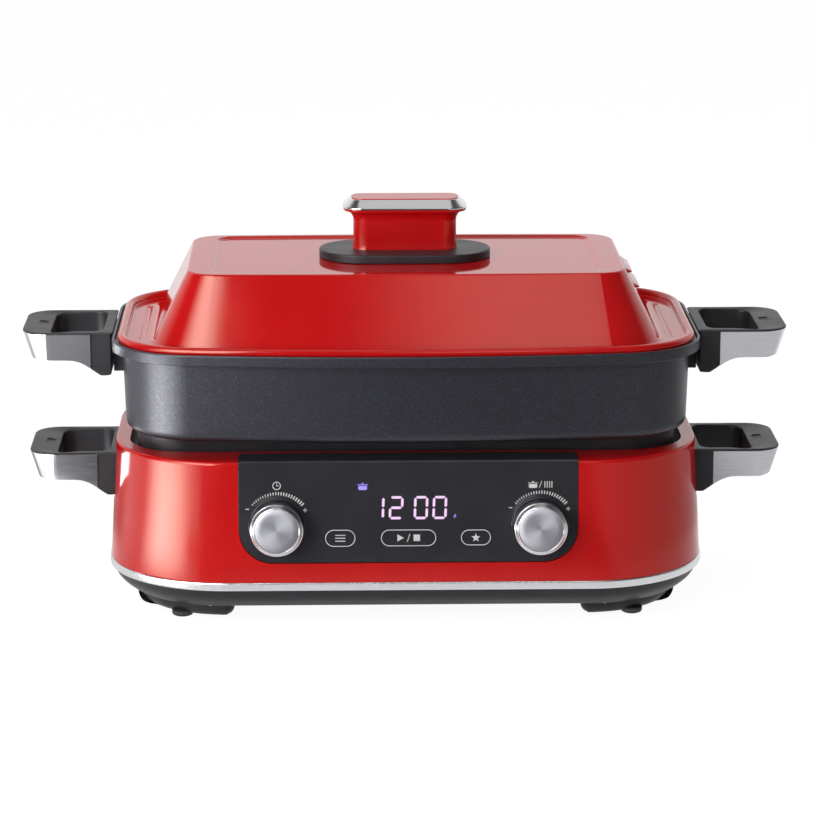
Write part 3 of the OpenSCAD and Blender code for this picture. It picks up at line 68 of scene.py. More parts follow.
# Sizes that the frame gives
SHELL_HI = box_mm("base_shell")[1]
BAND_LO, BAND_HI = box_mm("trim_band")
COLLAR_LO, COLLAR_HI = box_mm("collar")
PAN_LO, PAN_HI = box_mm("pan_body")
LID_LO, LID_HI = box_mm("lid_shell")
PLATE_LO, PLATE_HI = box_mm("knob_plate")
NECK_LO, NECK_HI = box_mm("knob_body")
RING_LO, RING_HI = box_mm("knob_ring")
CAP_LO, CAP_HI = box_mm("knob_cap")
PADS_LO, PADS_HI = box_mm("foot_pads")
PANEL_HI = box_mm("control_panel")[1]
MID_Y = (BAND_LO.y + BAND_HI.y) / 2

# Base: half sizes and corners of its top edge, how much wider it is at the foot, thicknesses, opening
# (half width, half depth, corner radius) with its turned-down edge, the band, and the tray below it
BASE_X = 191
BASE_Y = 103
BASE_CORNER = 74
FLARE = 4.5
SHELL_T = 3
RING_T = 2.6
EDGE_R = 2.4
OPENING = (181, 73, 36)
LIP_H = 9.5
SHELL_Z = BAND_HI.z
RING_Z = SHELL_HI.z
LEAN = atan2(FLARE, RING_Z - SHELL_Z)
BAND_PROUD = 0.8
BAND_T = 4
TRAY_SEAT = 1
TRAY_BELLY = (5.4, 7.7)
TRAY_LOW = 13
TRAY_T = 2.5
TRAY_Z = 11

# Pan and lid: corner radii, bow of the long sides, rim, walls, the bead round the flange, the hood's foot,
# its flat top, and the recess in it
PAN_CORNER = 57.6
BOW = 8
RIM_T = 2
RIM_BAND = 7.2
PAN_SETBACK = 7
PAN_DRAFT = 1.6
PAN_WALL = 4
PAN_FLOOR_T = 5
PAN_ROUND = 7
LEDGE_DOWN = 2.4
LID_CORNER = 54
BEAD_R = 3
LID_T = 1.8
HOOD_INSET = 1.4
HOOD_X = 164.5
TOP_X = 141.5
TOP_Y = 71
HOOD_CORNER = 39
TOP_CORNER = 18
BOW_LOST = 0.8
RECESS_SIDE = 16
RECESS_FRONT = 4.5
RECESS_CORNER = 12
RECESS_H = 1.4

# Steps of the lofted skins, distance of the edges beside their corners, and the largest share of an edge
# that a rounding takes
CORNER_STEPS = 18
BOW_STEPS = 10
EASE_STEPS = 5
SUPPORT = 2.0
EASE_MOST = 0.45

# Angle from which an edge is sharp, and distance in metres below which points are one
SHARP = radians(38)
WELD = 1e-7


# Geometry helpers

def mix(a, b, t):
    return tuple(p + (q - p) * t for p, q in zip(a, b))


def quarter(hx, hy, r, bow):
    """Quarter of a rounded outline, from the middle of the short side to the middle of the long side."""
    cx = hx - r
    cy, turn, big = hy - r, pi / 2, 0
    if bow > 0:
        big = (cx * cx + bow * bow) / (2 * bow)
        cy = hy - big + sqrt((big - r) ** 2 - cx * cx)
        turn = acos(cx / (big - r))
    points = [(hx, 0.0), (hx, max(cy - SUPPORT, cy / 2))]
    for i in range(CORNER_STEPS + 1):
        a = turn * i / CORNER_STEPS
        points.append((cx + r * cos(a), cy + r * sin(a)))
    if bow > 0:
        for j in range(1, BOW_STEPS):
            a = turn + (pi / 2 - turn) * j / BOW_STEPS
            points.append((big * cos(a), hy - big + big * sin(a)))
    else:
        for j in range(1, BOW_STEPS):
            points.append((max(cx - SUPPORT, cx / 2) * (1 - (j - 1) / (BOW_STEPS - 1)), hy))
    return points + [(0.0, hy)]


def mirrored(q):
    """Closed outline from its first quarter."""
    half = q + [(-x, y) for x, y in q[-2::-1]]
    return half + [(-x, -y) for x, y in half[1:-1]]


def outline_ring(section):
    """Ring of points of a section (half width, half depth, corner radius, bow, height)."""
    hx, hy, r, bow, z = section
    return [(x, y + MID_Y, z) for x, y in mirrored(quarter(hx, hy, r, bow))]


def eased(corners, cyclic=False):
    """Sections along a profile. Each corner is (section, radius), and one with a radius is rounded."""

    def span(a, b):
        sides = [abs(p - q) for p, q in zip(a[:-1], b[:-1])]
        return hypot(sum(sides[:2]) / len(sides[:2]), a[-1] - b[-1])

    made = []
    count = len(corners)
    for k, (here, radius) in enumerate(corners):
        if radius == 0 or (not cyclic and k in (0, count - 1)):
            made.append(here)
            continue
        before, after = corners[k - 1][0], corners[(k + 1) % count][0]
        start = mix(here, before, min(EASE_MOST, radius / span(here, before)))
        end = mix(here, after, min(EASE_MOST, radius / span(here, after)))
        for i in range(EASE_STEPS + 1):
            t = i / EASE_STEPS
            made.append(mix(mix(start, here, t), mix(here, end, t), t))
    return made


def loft(sections, ring=outline_ring, cyclic=False):
    """Vertices and faces of the closed skin through the rings of some sections."""
    rings = [ring(s) for s in sections]
    n = len(rings[0])
    count = len(rings)
    faces = []
    for k in range(count if cyclic else count - 1):
        a = k * n
        b = ((k + 1) % count) * n
        for i in range(n):
            j = (i + 1) % n
            faces.append((a + i, a + j, b + j, b + i))
    if not cyclic:
        faces.append(tuple(range(n)))
        faces.append(tuple((count - 1) * n + i for i in range(n)))
    return [p for r in rings for p in r], faces


def lathe(profile, steps, wave=None, cyclic=False):
    """Skin of a profile [(radius, height)] turned about Z. wave gives the radius at an angle."""

    def ring(section):
        r, z = section
        points = []
        for i in range(steps):
            a = tau * i / steps
            rr = wave(r, z, a) if wave else r
            points.append((rr * cos(a), rr * sin(a), z))
        return points

    return loft(profile, ring, cyclic)


def prism(points, low, high):
    """Upright prism over a closed outline of (x, y) points."""
    return loft([low, high], lambda z: [(x, y, z) for x, y in points])


def joined(parts):
    """Several skins as one."""
    verts, faces = [], []
    for v, f in parts:
        base = len(verts)
        verts += v
        faces += [tuple(base + i for i in face) for face in f]
    return verts, faces


def moved(skin, matrix):
    return [tuple(matrix @ Vector(v)) for v in skin[0]], skin[1]


def round_corners(points, steps=8):
    """Closed outline through (x, y, radius) corners, each rounded to its radius."""
    made = []
    for k, (x, y, r) in enumerate(points):
        here = Vector((x, y))
        before = Vector(points[k - 1][:2]) - here
        after = Vector(points[(k + 1) % len(points)][:2]) - here
        if r == 0:
            made.append((x, y))
            continue
        half = before.angle(after) / 2
        reach = r / tan(half)
        centre = here + (before.normalized() + after.normalized()).normalized() * (r / sin(half))
        first = here + before.normalized() * reach - centre
        last = here + after.normalized() * reach - centre
        sweep = first.angle_signed(last)
        for i in range(steps + 1):
            p = first.copy()
            p.rotate(Matrix.Rotation(-sweep * i / steps, 2))
            made.append(tuple(centre + p))
    return made


def rounded_box(x0, y0, x1, y1, r, steps=8):
    """Outline of a box. r is the radius of its corners, or a radius for each."""
    radii = r if isinstance(r, tuple) else (r,) * 4
    corners = ((x0, y0), (x1, y0), (x1, y1), (x0, y1))
    return round_corners([(*corner, radius) for corner, radius in zip(corners, radii)], steps)


def circle(x, y, r, steps=40):
    angles = (tau * i / steps for i in range(steps))
    return [(x + r * cos(a), y + r * sin(a)) for a in angles]


def insets(hx, hy, r, bow=0):
    """Sections of one outline: a function of how far it is drawn in, and of its height."""
    return lambda inset, z: (hx - inset, hy - inset, r - inset, bow, z)


def rows(section, *table):
    """Corners of a profile from rows of inset, height and radius."""
    return [(section(inset, z), r) for inset, z, r in table]


def half_depth(lo, hi):
    return (hi.y - lo.y) / 2


def smoothed(mesh):
    """Smooth shading but for sharp edges."""
    mesh.shade_smooth()
    mesh.set_sharp_from_angle(angle=SHARP)


def mesh_of(name, skin):
    """Mesh in metres from a skin in millimetres."""
    mesh = bpy.data.meshes.new(name)
    mesh.from_pydata([Vector(v) * MM for v in skin[0]], [], skin[1])
    bm = bmesh.new()
    bm.from_mesh(mesh)
    bmesh.ops.remove_doubles(bm, verts=bm.verts, dist=WELD)
    bmesh.ops.dissolve_degenerate(bm, edges=bm.edges, dist=WELD)
    bmesh.ops.recalc_face_normals(bm, faces=bm.faces)
    bm.to_mesh(mesh)
    bm.free()
    smoothed(mesh)
    return mesh


def new_object(name, data):
    obj = bpy.data.objects.new(name, data)
    bpy.context.scene.collection.objects.link(obj)
    return obj


def piece(name, skin, slot, body, node=None, finish=None, matrix=None, bevel=0):
    """Object of the scene on its body, in place of a CAD node. Its finish is its slot's, or another."""
    obj = new_object(name, mesh_of(name, skin))
    if matrix is not None:
        obj.matrix_world = matrix
    obj.data.materials.append(finish or SLOT_FINISH[slot])
    if bevel:
        soften(obj, bevel)
    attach(obj, body)
    if node:
        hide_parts(node)
    return obj


def pressing(name, corners, slot, body, node, finish=None, cyclic=False, tools=()):
    """Piece lofted through rounded sections, with its cuts."""
    obj = piece(name, loft(eased(corners, cyclic), cyclic=cyclic), slot, body, node, finish)
    if tools:
        carve(obj, tools)
    weigh(obj)


def soften(obj, width):
    """Small rounding of an object's sharp edges."""
    mod = obj.modifiers.new("edges", "BEVEL")
    mod.width = width * MM
    mod.segments = 3
    mod.limit_method = "ANGLE"
    mod.angle_limit = radians(40)
    mod.harden_normals = True


def weigh(obj):
    """Normals that keep flat faces flat beside their roundings."""
    mod = obj.modifiers.new("normals", "WEIGHTED_NORMAL")
    mod.keep_sharp = True
    mod.weight = 90


def carve(obj, tools):
    """Applies each (skin, operation) of tools to the object, for good."""
    for skin, operation in tools:
        tool = new_object("tool", mesh_of("tool", skin))
        mod = obj.modifiers.new("cut", "BOOLEAN")
        mod.operation = operation
        mod.solver = "EXACT"
        mod.object = tool
        bpy.context.view_layer.update()
        graph = bpy.context.evaluated_depsgraph_get()
        made = bpy.data.meshes.new_from_object(obj.evaluated_get(graph))
        obj.modifiers.remove(mod)
        old = obj.data
        made.name = old.name + "_cut"
        obj.data = made
        bpy.data.meshes.remove(old)
        bpy.data.objects.remove(tool)
    smoothed(obj.data)


# Finishes

def feed(tree, node, inputs):
    """Sets each input of a node to a number or a colour, or links it to another node's output."""
    for name, value in inputs.items():
        if isinstance(value, bpy.types.NodeSocket):
            tree.links.new(value, node.inputs[name])
        else:
            node.inputs[name].default_value = value


def add(tree, kind, result, inputs, **settings):
    """Output of a new shader node."""
    node = tree.nodes.new("ShaderNode" + kind)
    for name, value in settings.items():
        setattr(node, name, value)
    feed(tree, node, inputs)
    return node.outputs[result]


def combined(tree, operation, first, *others):
    """Values put together, one after the other."""
    for other in others:
        first = add(tree, "Math", "Value", {0: first, 1: other}, operation=operation)
    return first


def node_finish(name):
    """New node material, its tree and its Principled shader."""
    mat = bpy.data.materials.new(name)
    mat.use_nodes = True
    return mat, mat.node_tree, mat.node_tree.nodes["Principled BSDF"]


def place(tree, scale=(1, 1, 1)):
    """Object coordinates in metres, stretched by scale."""
    return add(tree, "Mapping", "Vector", {"Scale": scale, "Vector": add(tree, "TexCoord", "Object", {})})


def noise(tree, vector, scale, detail=2.0):
    return add(tree, "TexNoise", "Fac", {
        "Scale": scale, "Detail": detail, "Roughness": 0.5, "Vector": vector})


def spread(tree, value, low, high, start=0.3, end=0.7, **settings):
    """Value that goes from low to high between start and end."""
    return add(tree, "MapRange", "Result", {
        "From Min": start, "From Max": end, "To Min": low, "To Max": high, "Value": value}, **settings)


def bump(tree, height, strength, distance=0.0002):
    return add(tree, "Bump", "Normal", {"Strength": strength, "Distance": distance, "Height": height})


def tint(tree, value, dark, light):
    """Colour between dark and light as value goes from 0 to 1."""
    return add(tree, "Mix", "Result", {"A": (*dark, 1), "B": (*light, 1), "Factor": value}, data_type="RGBA")


def plain_finish(name, dark, light, rough, metal=0.0, grain=120, spread_rough=0.05, relief=0.02, coat=0.0,
                 stretch=(1, 1, 1), fine=2500, shine=0.5, gleam=(1, 1, 1)):
    """Finish with a slow change of colour and gloss and a fine relief."""
    mat, tree, shader = node_finish(name)
    vector = place(tree, stretch)
    slow = noise(tree, vector, grain)
    feed(tree, shader, {
        "Base Color": tint(tree, spread(tree, slow, 0, 1), dark, light),
        "Roughness": spread(tree, slow, rough - spread_rough / 2, rough + spread_rough / 2),
        "Metallic": metal,
        "Specular IOR Level": shine,
        "Specular Tint": (*gleam, 1),
        "Coat Weight": coat,
        "Coat Roughness": 0.03,
        "Normal": bump(tree, noise(tree, vector, fine), relief),
    })
    return mat


def coating_finish():
    """Charcoal non-stick coating with a fine light speckle that shines like metal."""
    mat, tree, shader = node_finish("speckled_coating")
    vector = place(tree)
    cell = add(tree, "TexVoronoi", "Color", {"Scale": 2400, "Vector": vector})
    pick = add(tree, "SeparateColor", "Red", {"Color": cell})
    fleck = spread(tree, pick, 0, 1, 0.72, 1.0)
    grain = noise(tree, vector, 1300, 3)
    feed(tree, shader, {
        "Base Color": tint(tree, fleck, (0.017, 0.017, 0.022), (0.078, 0.084, 0.125)),
        "Roughness": spread(tree, grain, 0.31, 0.43),
        "Metallic": spread(tree, fleck, 0.1, 0.8, 0, 1),
        "Normal": bump(tree, grain, 0.22),
    })
    return mat


def lit_finish(name, color, glow):
    """Lit segment behind the panel."""
    mat, tree, shader = node_finish(name)
    hue = tint(tree, noise(tree, place(tree), 300), color, tuple(min(1, c * 1.15) for c in color))
    feed(tree, shader, {
        "Base Color": hue, "Emission Color": hue, "Emission Strength": glow, "Roughness": 0.4})
    return mat


def turned_finish():
    """Turned metal with fine rings about the local Z axis."""
    mat, tree, shader = node_finish("turned_aluminium")
    where = add(tree, "TexCoord", "Object", {})
    rings = add(tree, "TexWave", "Fac", {"Scale": 900, "Distortion": 0.6, "Vector": where},
                wave_type="RINGS", rings_direction="Z")
    feed(tree, shader, {
        "Base Color": tint(tree, rings, (0.27, 0.27, 0.30), (0.37, 0.37, 0.40)),
        "Metallic": 1.0,
        "Roughness": 0.52,
        "Anisotropic": 0.4,
        "Tangent": add(tree, "Tangent", "Tangent", {}, direction_type="RADIAL", axis="Z"),
        "Normal": bump(tree, rings, 0.05, 0.0001),
    })
    return mat


RED = ((0.52, 0.004, 0.006), (0.56, 0.006, 0.008))
RED_GLEAM = (1.0, 0.90, 0.72)
UPRIGHT_GRAIN = (1, 1, 12)

black_plastic = plain_finish("black_grained_plastic", (0.022, 0.021, 0.024), (0.028, 0.027, 0.031), 0.42,
                             spread_rough=0.08, relief=0.12, grain=60, shine=0.25)
panel_gloss = plain_finish("panel_gloss", (0.028, 0.027, 0.032), (0.032, 0.031, 0.036), 0.14,
                           spread_rough=0.03, relief=0.004, grain=40)
bright_satin = plain_finish("bright_satin_metal", (0.68, 0.68, 0.70), (0.74, 0.74, 0.76), 0.24, metal=1.0,
                            relief=0.03, grain=60, stretch=UPRIGHT_GRAIN, fine=1500)
strip_metal = plain_finish("strip_metal", (0.72, 0.72, 0.77), (0.78, 0.78, 0.83), 0.12, metal=1.0,
                           spread_rough=0.03, relief=0.01, grain=60, stretch=UPRIGHT_GRAIN, fine=1500)
chrome = plain_finish("knob_chrome", (0.70, 0.70, 0.71), (0.74, 0.74, 0.75), 0.12, metal=1.0, relief=0.01,
                      grain=60)
white_print = plain_finish("white_print", (0.60, 0.60, 0.60), (0.66, 0.66, 0.66), 0.5)
digit_glow = lit_finish("lit_digit", (0.60, 0.42, 0.62), 0.55)
sign_glow = lit_finish("lit_sign", (0.28, 0.22, 0.75), 0.5)
turned_metal = turned_finish()

SLOT_FINISH = {
    "red_plastic": plain_finish("red_gloss_plastic", *RED, 0.16, spread_rough=0.02, coat=0.05, grain=30,
                                fine=900, shine=0.42, gleam=RED_GLEAM),
    "red_enamel": plain_finish("red_enamel", *RED, 0.07, spread_rough=0.02, relief=0.01, coat=0.08, grain=30,
                               fine=300, shine=0.45, gleam=RED_GLEAM),
    "black_plastic": black_plastic,
    "panel_plastic": panel_gloss,
    "dark_plastic": plain_finish("dark_plastic", (0.04, 0.04, 0.042), (0.05, 0.05, 0.052), 0.5, relief=0.1),
    "pan_coating": coating_finish(),
    "bright_trim": bright_satin,
    "dial_metal": bright_satin,
    "sheet_steel": plain_finish("sheet_steel", (0.50, 0.50, 0.50), (0.58, 0.58, 0.58), 0.34, metal=1.0,
                                stretch=(1, 14, 14), relief=0.06),
    "element_steel": plain_finish("heat_dark_steel", (0.035, 0.035, 0.037), (0.07, 0.065, 0.06), 0.45,
                                  metal=0.7, relief=0.1),
    "fastener_steel": plain_finish("zinc_steel", (0.50, 0.50, 0.51), (0.58, 0.58, 0.58), 0.3, metal=1.0),
    "brass": plain_finish("brass", (0.60, 0.42, 0.16), (0.66, 0.48, 0.20), 0.28, metal=1.0),
    "rubber": plain_finish("pad_rubber", (0.020, 0.020, 0.020), (0.030, 0.030, 0.030), 0.65, relief=0.2,
                           grain=200),
    "ceramic": plain_finish("ceramic", (0.74, 0.71, 0.62), (0.80, 0.77, 0.70), 0.6, relief=0.1),
    "board": plain_finish("board_green", (0.02, 0.11, 0.045), (0.03, 0.15, 0.06), 0.35, grain=400),
    "display_glass": plain_finish("display_dark", (0.010, 0.008, 0.012), (0.014, 0.011, 0.016), 0.2),
    "component_blue": plain_finish("blue_case", (0.02, 0.08, 0.30), (0.03, 0.10, 0.34), 0.3),
    "component_green": plain_finish("green_block", (0.02, 0.20, 0.10), (0.03, 0.24, 0.12), 0.4),
    "lead_sleeve": plain_finish("lead_sleeve", (0.28, 0.015, 0.012), (0.33, 0.02, 0.016), 0.5, relief=0.15),
}
NODE_FINISH = {"pan_brackets": black_plastic}


def dress_frame():
    """Gives each CAD node the finish of its slot in the record, or its own."""
    slot_of = {part["node"]: part["material_slot"] for part in frame["record"]["subparts"]}
    for name, obj in frame["nodes"].items():
        finish = NODE_FINISH.get(name, SLOT_FINISH[slot_of[name]])
        if not obj.material_slots:
            obj.data.materials.append(finish)
        for slot in obj.material_slots:
            slot.material = finish
        smoothed(obj.data)


# Base

def base_section(inset, z):
    out = FLARE * (RING_Z - z) / (RING_Z - SHELL_Z)
    return BASE_X + out - inset, BASE_Y + out - inset, BASE_CORNER + out - inset, 0, z


def foot_insets(grow):
    """Sections of the base's outline at its foot, grown."""
    grow += FLARE
    return insets(BASE_X + grow, BASE_Y + grow, BASE_CORNER + grow)


opening_section = insets(*OPENING)


# Panel: half width, reach of its strip over the top ring, how proud it stands, length down the front,
# corners, thickness, the gap round it, the seal behind its lower edge, and the fold
PANEL_X = PANEL_HI.x
PANEL_TOP_D = PANEL_HI.y - (MID_Y - BASE_Y)
PANEL_PROUD = 0.6
PANEL_L = 66.5
PANEL_CORNER = 22
PANEL_BACK_CORNER = 4
PANEL_T = 3.2
PANEL_GAP = 0.2
SEAL_W = 2.4
SEAL_T = 0.9
FOLD_R = 1.6

# How far cuts run past the shell, and how far inside its wall a joined block ends
CUT_PAST = 8
CUT_FAR = 20
WALL_SHY = 0.05

# Frame on the front wall at its top edge: X to the right, Y up along the wall, Z out of it
FRONT = Matrix.Translation((0, MID_Y - BASE_Y, RING_Z)) @ Matrix.Rotation(pi / 2 - LEAN, 4, "X")


def panel_outline(grow):
    """Panel's outline in the front frame, open upwards past the fold."""
    w = PANEL_X + grow
    r = PANEL_CORNER + grow
    return rounded_box(-w, -PANEL_L - grow, w, CUT_PAST, (r, r, 0, 0), 14)


def top_outline(grow):
    """Outline of the panel's strip on the top ring, open to the front."""
    w = PANEL_X + grow
    front = MID_Y - BASE_Y
    r = PANEL_BACK_CORNER + grow
    return rounded_box(-w, front - CUT_PAST, w, front + PANEL_TOP_D + grow, (0, 0, r, r), 6)


# Hollows for the feet of the base handles
GRIP_LO, GRIP_HI = box_mm("right_base_grip")
POCKET_ROOM = 4
POCKET_X = GRIP_LO.x
POCKET_Y = half_depth(GRIP_LO, GRIP_HI) + POCKET_ROOM
POCKET_Z = (GRIP_LO.z - POCKET_ROOM, GRIP_HI.z + POCKET_ROOM)
POCKET_CORNER = 8

# Mains inlet: flange that covers the edge of its opening, and the opening's corners
INLET_LO, INLET_HI = box_mm("inlet_housing")
INLET_FLANGE = 2.8
INLET_CORNER = 4


def side_prism(side, x0, x1, grow):
    """Block with rounded corners through a side wall of the base."""
    low, high = POCKET_Z
    w = POCKET_Y + grow
    points = rounded_box(-w, low - grow, w, high + grow, POCKET_CORNER + grow)
    return loft([x0, x1], lambda x: [(side * x, y + MID_Y, z) for y, z in points])


def overlap(a, b):
    """Skin of what two skins share."""
    obj = new_object("shared", mesh_of("shared", a))
    carve(obj, [(b, "INTERSECT")])
    skin = ([tuple(v.co / MM) for v in obj.data.vertices], [tuple(p.vertices) for p in obj.data.polygons])
    bpy.data.objects.remove(obj)
    return skin


def make_base_shell():
    under, lip = RING_Z - RING_T, RING_Z - LIP_H
    corners = [
        *rows(base_section, (SHELL_T, SHELL_Z, 0.3), (0, SHELL_Z, 0.5), (0, RING_Z, EDGE_R)),
        *rows(opening_section, (0, RING_Z, 1.3), (0, lip, 0.5), (-RING_T, lip, 0.5), (-RING_T, under, 0)),
        (base_section(SHELL_T, under), 0),
    ]
    tools = []
    wall = loft([base_section(WALL_SHY, SHELL_Z + 1), base_section(WALL_SHY, RING_Z - 1)])
    for side in (-1, 1):
        block = side_prism(side, POCKET_X - SHELL_T, BASE_X + FLARE + 2, SHELL_T)
        tools.append((overlap(block, wall), "UNION"))
        tools.append((side_prism(side, POCKET_X, BASE_X + FLARE + CUT_FAR, 0), "DIFFERENCE"))
    depth = SHELL_T + 3
    tools.append((moved(prism(panel_outline(PANEL_GAP), -depth, 6), FRONT), "DIFFERENCE"))
    tools.append((prism(top_outline(PANEL_GAP), RING_Z - depth, RING_Z + 4), "DIFFERENCE"))
    lo, hi = INLET_LO, INLET_HI
    hole = rounded_box(lo.x + INLET_FLANGE, lo.z + INLET_FLANGE, hi.x - INLET_FLANGE, hi.z - INLET_FLANGE,
                       INLET_CORNER)
    back = MID_Y + BASE_Y
    tools.append((loft([back - 12, back + CUT_FAR], lambda y: [(x, y, z) for x, z in hole]), "DIFFERENCE"))
    pressing("shell_of_base", corners, "red_plastic", "base", "base_shell", cyclic=True, tools=tools)


def make_band():
    low, high = BAND_LO.z, BAND_HI.z
    corners = rows(foot_insets(BAND_PROUD), (0, low, 1.0), (0, high, 1.0), (BAND_T, high, 0),
                   (BAND_T, low, 0))
    pressing("band_round_base", corners, "bright_trim", "base", "trim_band", cyclic=True)


# Foot blocks: inner sides, inset of the outer side, and bottom
FOOT_X = 112
FOOT_Y = 44
FOOT_IN = TRAY_LOW + 4.5
FOOT_Z = PADS_HI.z - 1.6

# Air slots of the tray
SLOT_COUNT = 9
SLOT_X = 92
SLOT_PITCH = 7.2
SLOT_HALF = 1.5
SLOT_Y = (-25, 9)


def foot_ring(section):
    """Ring of a foot block drawn in by the section's inset, at its height."""
    inset, z = section
    far = FLARE - FOOT_IN - inset
    points = rounded_box(FOOT_X + inset, FOOT_Y + inset, BASE_X + far, BASE_Y + far,
                         (4, 4, BASE_CORNER + far - 0.5, 5), 10)
    return [(x, y, z) for x, y in points]


def make_tray():
    belly_in, belly_up = TRAY_BELLY
    inside = TRAY_Z + TRAY_T
    corners = rows(
        foot_insets(0),
        (TRAY_LOW + 12, inside, 0), (TRAY_LOW + TRAY_T, inside, 1),
        (belly_in + TRAY_T, TRAY_Z + belly_up, 4), (TRAY_SEAT + TRAY_T, BAND_LO.z, 0),
        (TRAY_SEAT, BAND_LO.z, 0), (belly_in - 1.2, TRAY_Z + belly_up - 0.8, 6),
        (TRAY_LOW, TRAY_Z, 2.2), (TRAY_LOW + 14, TRAY_Z, 0),
    )
    slots = []
    for side in (-1, 1):
        for i in range(SLOT_COUNT):
            x = side * SLOT_X + (i - (SLOT_COUNT - 1) / 2) * SLOT_PITCH
            slot = rounded_box(x - SLOT_HALF, MID_Y + SLOT_Y[0], x + SLOT_HALF, MID_Y + SLOT_Y[1], 0)
            slots.append(prism(slot, TRAY_Z - 2, TRAY_Z + TRAY_T + 2))
    pressing("tray_under_base", corners, "black_plastic", "base", "base_tray",
             tools=[(joined(slots), "DIFFERENCE")])
    profile = eased([((0.6, TRAY_Z + 1), 0), ((0.9, FOOT_Z + 4), 2.5), ((4, FOOT_Z), 2.6), ((9, FOOT_Z), 0)])
    verts, faces = loft(profile, foot_ring)
    for depth, sy in (("front", -1), ("rear", 1)):
        for side, sx in (("left", -1), ("right", 1)):
            block = [(sx * x, sy * y + MID_Y, z) for x, y, z in verts], faces
            weigh(piece(f"foot_block_{depth}_{side}", block, "black_plastic", "base"))


def make_pads():
    r = 7
    profile = [(0.2, 0), (3.4, 0), (5.4, 0.25), (6.5, 0.8), (r, 1.7), (r, PADS_HI.z)]
    x = PADS_HI.x - r
    y = half_depth(PADS_LO, PADS_HI) - r
    pads = [moved(lathe(profile, 40), Matrix.Translation((sx * x, sy * y + MID_Y, 0)))
            for sx in (-1, 1) for sy in (-1, 1)]
    piece("pads_under_feet", joined(pads), "rubber", "base", "foot_pads")


# Collar: gap to the opening, width of its flange below, and of its top and its step
COLLAR_GAP = 4.5
COLLAR_FLANGE = 8.5
COLLAR_TOP_W = 4


def make_collar():
    low, seat, top, liner = COLLAR_LO.z, COLLAR_LO.z + 3, COLLAR_HI.z, RING_Z - LIP_H
    corners = rows(
        insets(*(v - COLLAR_GAP for v in OPENING)),
        (-COLLAR_FLANGE, low, 0), (-COLLAR_FLANGE, seat, 0), (0, seat, 0.6), (0, top, 1.5),
        (COLLAR_TOP_W, top, 1.2), (COLLAR_TOP_W, liner, 0.4),
        (2 * COLLAR_TOP_W, liner, 0.5), (2 * COLLAR_TOP_W, low, 0),
    )
    pressing("collar_round_well", corners, "black_plastic", "base", "collar", cyclic=True)


# Control panel

def panel_point(x, s, out):
    """Point on the panel: s along it from the strip's back edge, over the fold, and down the front."""
    flat = PANEL_TOP_D - FOLD_R
    turn = pi / 2 - LEAN
    bend = FOLD_R * turn
    top = RING_Z + PANEL_PROUD
    back_y = MID_Y - BASE_Y + PANEL_TOP_D
    edge_y = back_y - flat
    if s <= flat:
        return x, back_y - s, top + out
    if s <= flat + bend:
        a = (s - flat) / FOLD_R
        reach = FOLD_R + out
        return x, edge_y - reach * sin(a), top - FOLD_R + reach * cos(a)
    down = s - flat - bend
    y = edge_y - (FOLD_R + out) * sin(turn) - down * sin(LEAN)
    z = top - FOLD_R + (FOLD_R + out) * cos(turn) - down * cos(LEAN)
    return x, y, z


def quarter_turn(r, steps):
    """Distances along and across from the start of a rounded corner."""
    angles = (pi / 2 * i / steps for i in range(steps + 1))
    return [(r * (1 - cos(a)), r * (1 - sin(a))) for a in angles]


def make_panel():
    turn = pi / 2 - LEAN
    flat = PANEL_TOP_D - FOLD_R
    bend = FOLD_R * turn
    total = flat + bend + PANEL_L - FOLD_R * tan(turn / 2)
    stations = [(along, PANEL_X - across) for along, across in quarter_turn(PANEL_BACK_CORNER, 6)]
    stations.append((flat - 1, PANEL_X))
    stations += [(flat + bend * i / 8, PANEL_X) for i in range(9)]
    stations.append((flat + bend + 2, PANEL_X))
    stations += [(total - across, PANEL_X - along) for along, across in quarter_turn(PANEL_CORNER, 16)]
    columns = [-1, -0.97, -0.5, 0, 0.5, 0.97, 1]

    def ring(station):
        s, w = station
        return [panel_point(w * c, s, 0) for c in columns] + [
            panel_point(w * c, s, -PANEL_T) for c in reversed(columns)]

    weigh(piece("fascia", loft(stations, ring), "panel_plastic", "base", "control_panel", bevel=0.5))
    w = PANEL_X - PANEL_CORNER / 2
    strip = rounded_box(-w, -PANEL_L - SEAL_W, w, -PANEL_L + SEAL_W, 0)
    seal = prism(strip, -SHELL_T - 0.1 - SEAL_T, -SHELL_T - 0.1)
    piece("seal_behind_panel", moved(seal, FRONT), "rubber", "base", bevel=0.2)


make_base_shell()
make_band()
make_tray()
make_pads()
make_collar()
make_panel()


# Pan

def make_pan():
    outer, inner = PAN_SETBACK + PAN_DRAFT, PAN_SETBACK + PAN_WALL
    low, floor = PAN_LO.z, PAN_LO.z + PAN_FLOOR_T
    band, ledge, top = PAN_HI.z - RIM_BAND, PAN_HI.z - LEDGE_DOWN, PAN_HI.z
    corners = rows(
        insets(PAN_HI.x, half_depth(PAN_LO, PAN_HI), PAN_CORNER, BOW),
        (outer + PAN_ROUND + 10, low, 0), (outer, low, PAN_ROUND), (PAN_SETBACK, band, 0.7),
        (0, band, 1.0), (0, top, 0.9), (RIM_T, top, 0.8), (RIM_T, ledge, 0.4), (inner, ledge, 1.2),
        (inner + PAN_DRAFT, floor, PAN_ROUND), (inner + PAN_DRAFT + PAN_ROUND + 10, floor, 0),
    )
    pressing("pan_casting", corners, "pan_coating", "pan", "pan_body")


# Lid
LID_Y = half_depth(LID_LO, LID_HI)
HOOD_Y = LID_Y - 2 * BEAD_R - HOOD_INSET
FLANGE_Z = LID_LO.z + LID_T

# Grooves in the flat flanges: distance from the hood's foot, radius, height of their axis, and ends
GROOVE_IN = 7
GROOVE_R = 2.6
GROOVE_UP = 1.6
GROOVE_ENDS = [(-56, 0.15), (-55, 0.6), (-53.5, 1), (53.5, 1), (55, 0.6), (56, 0.15)]


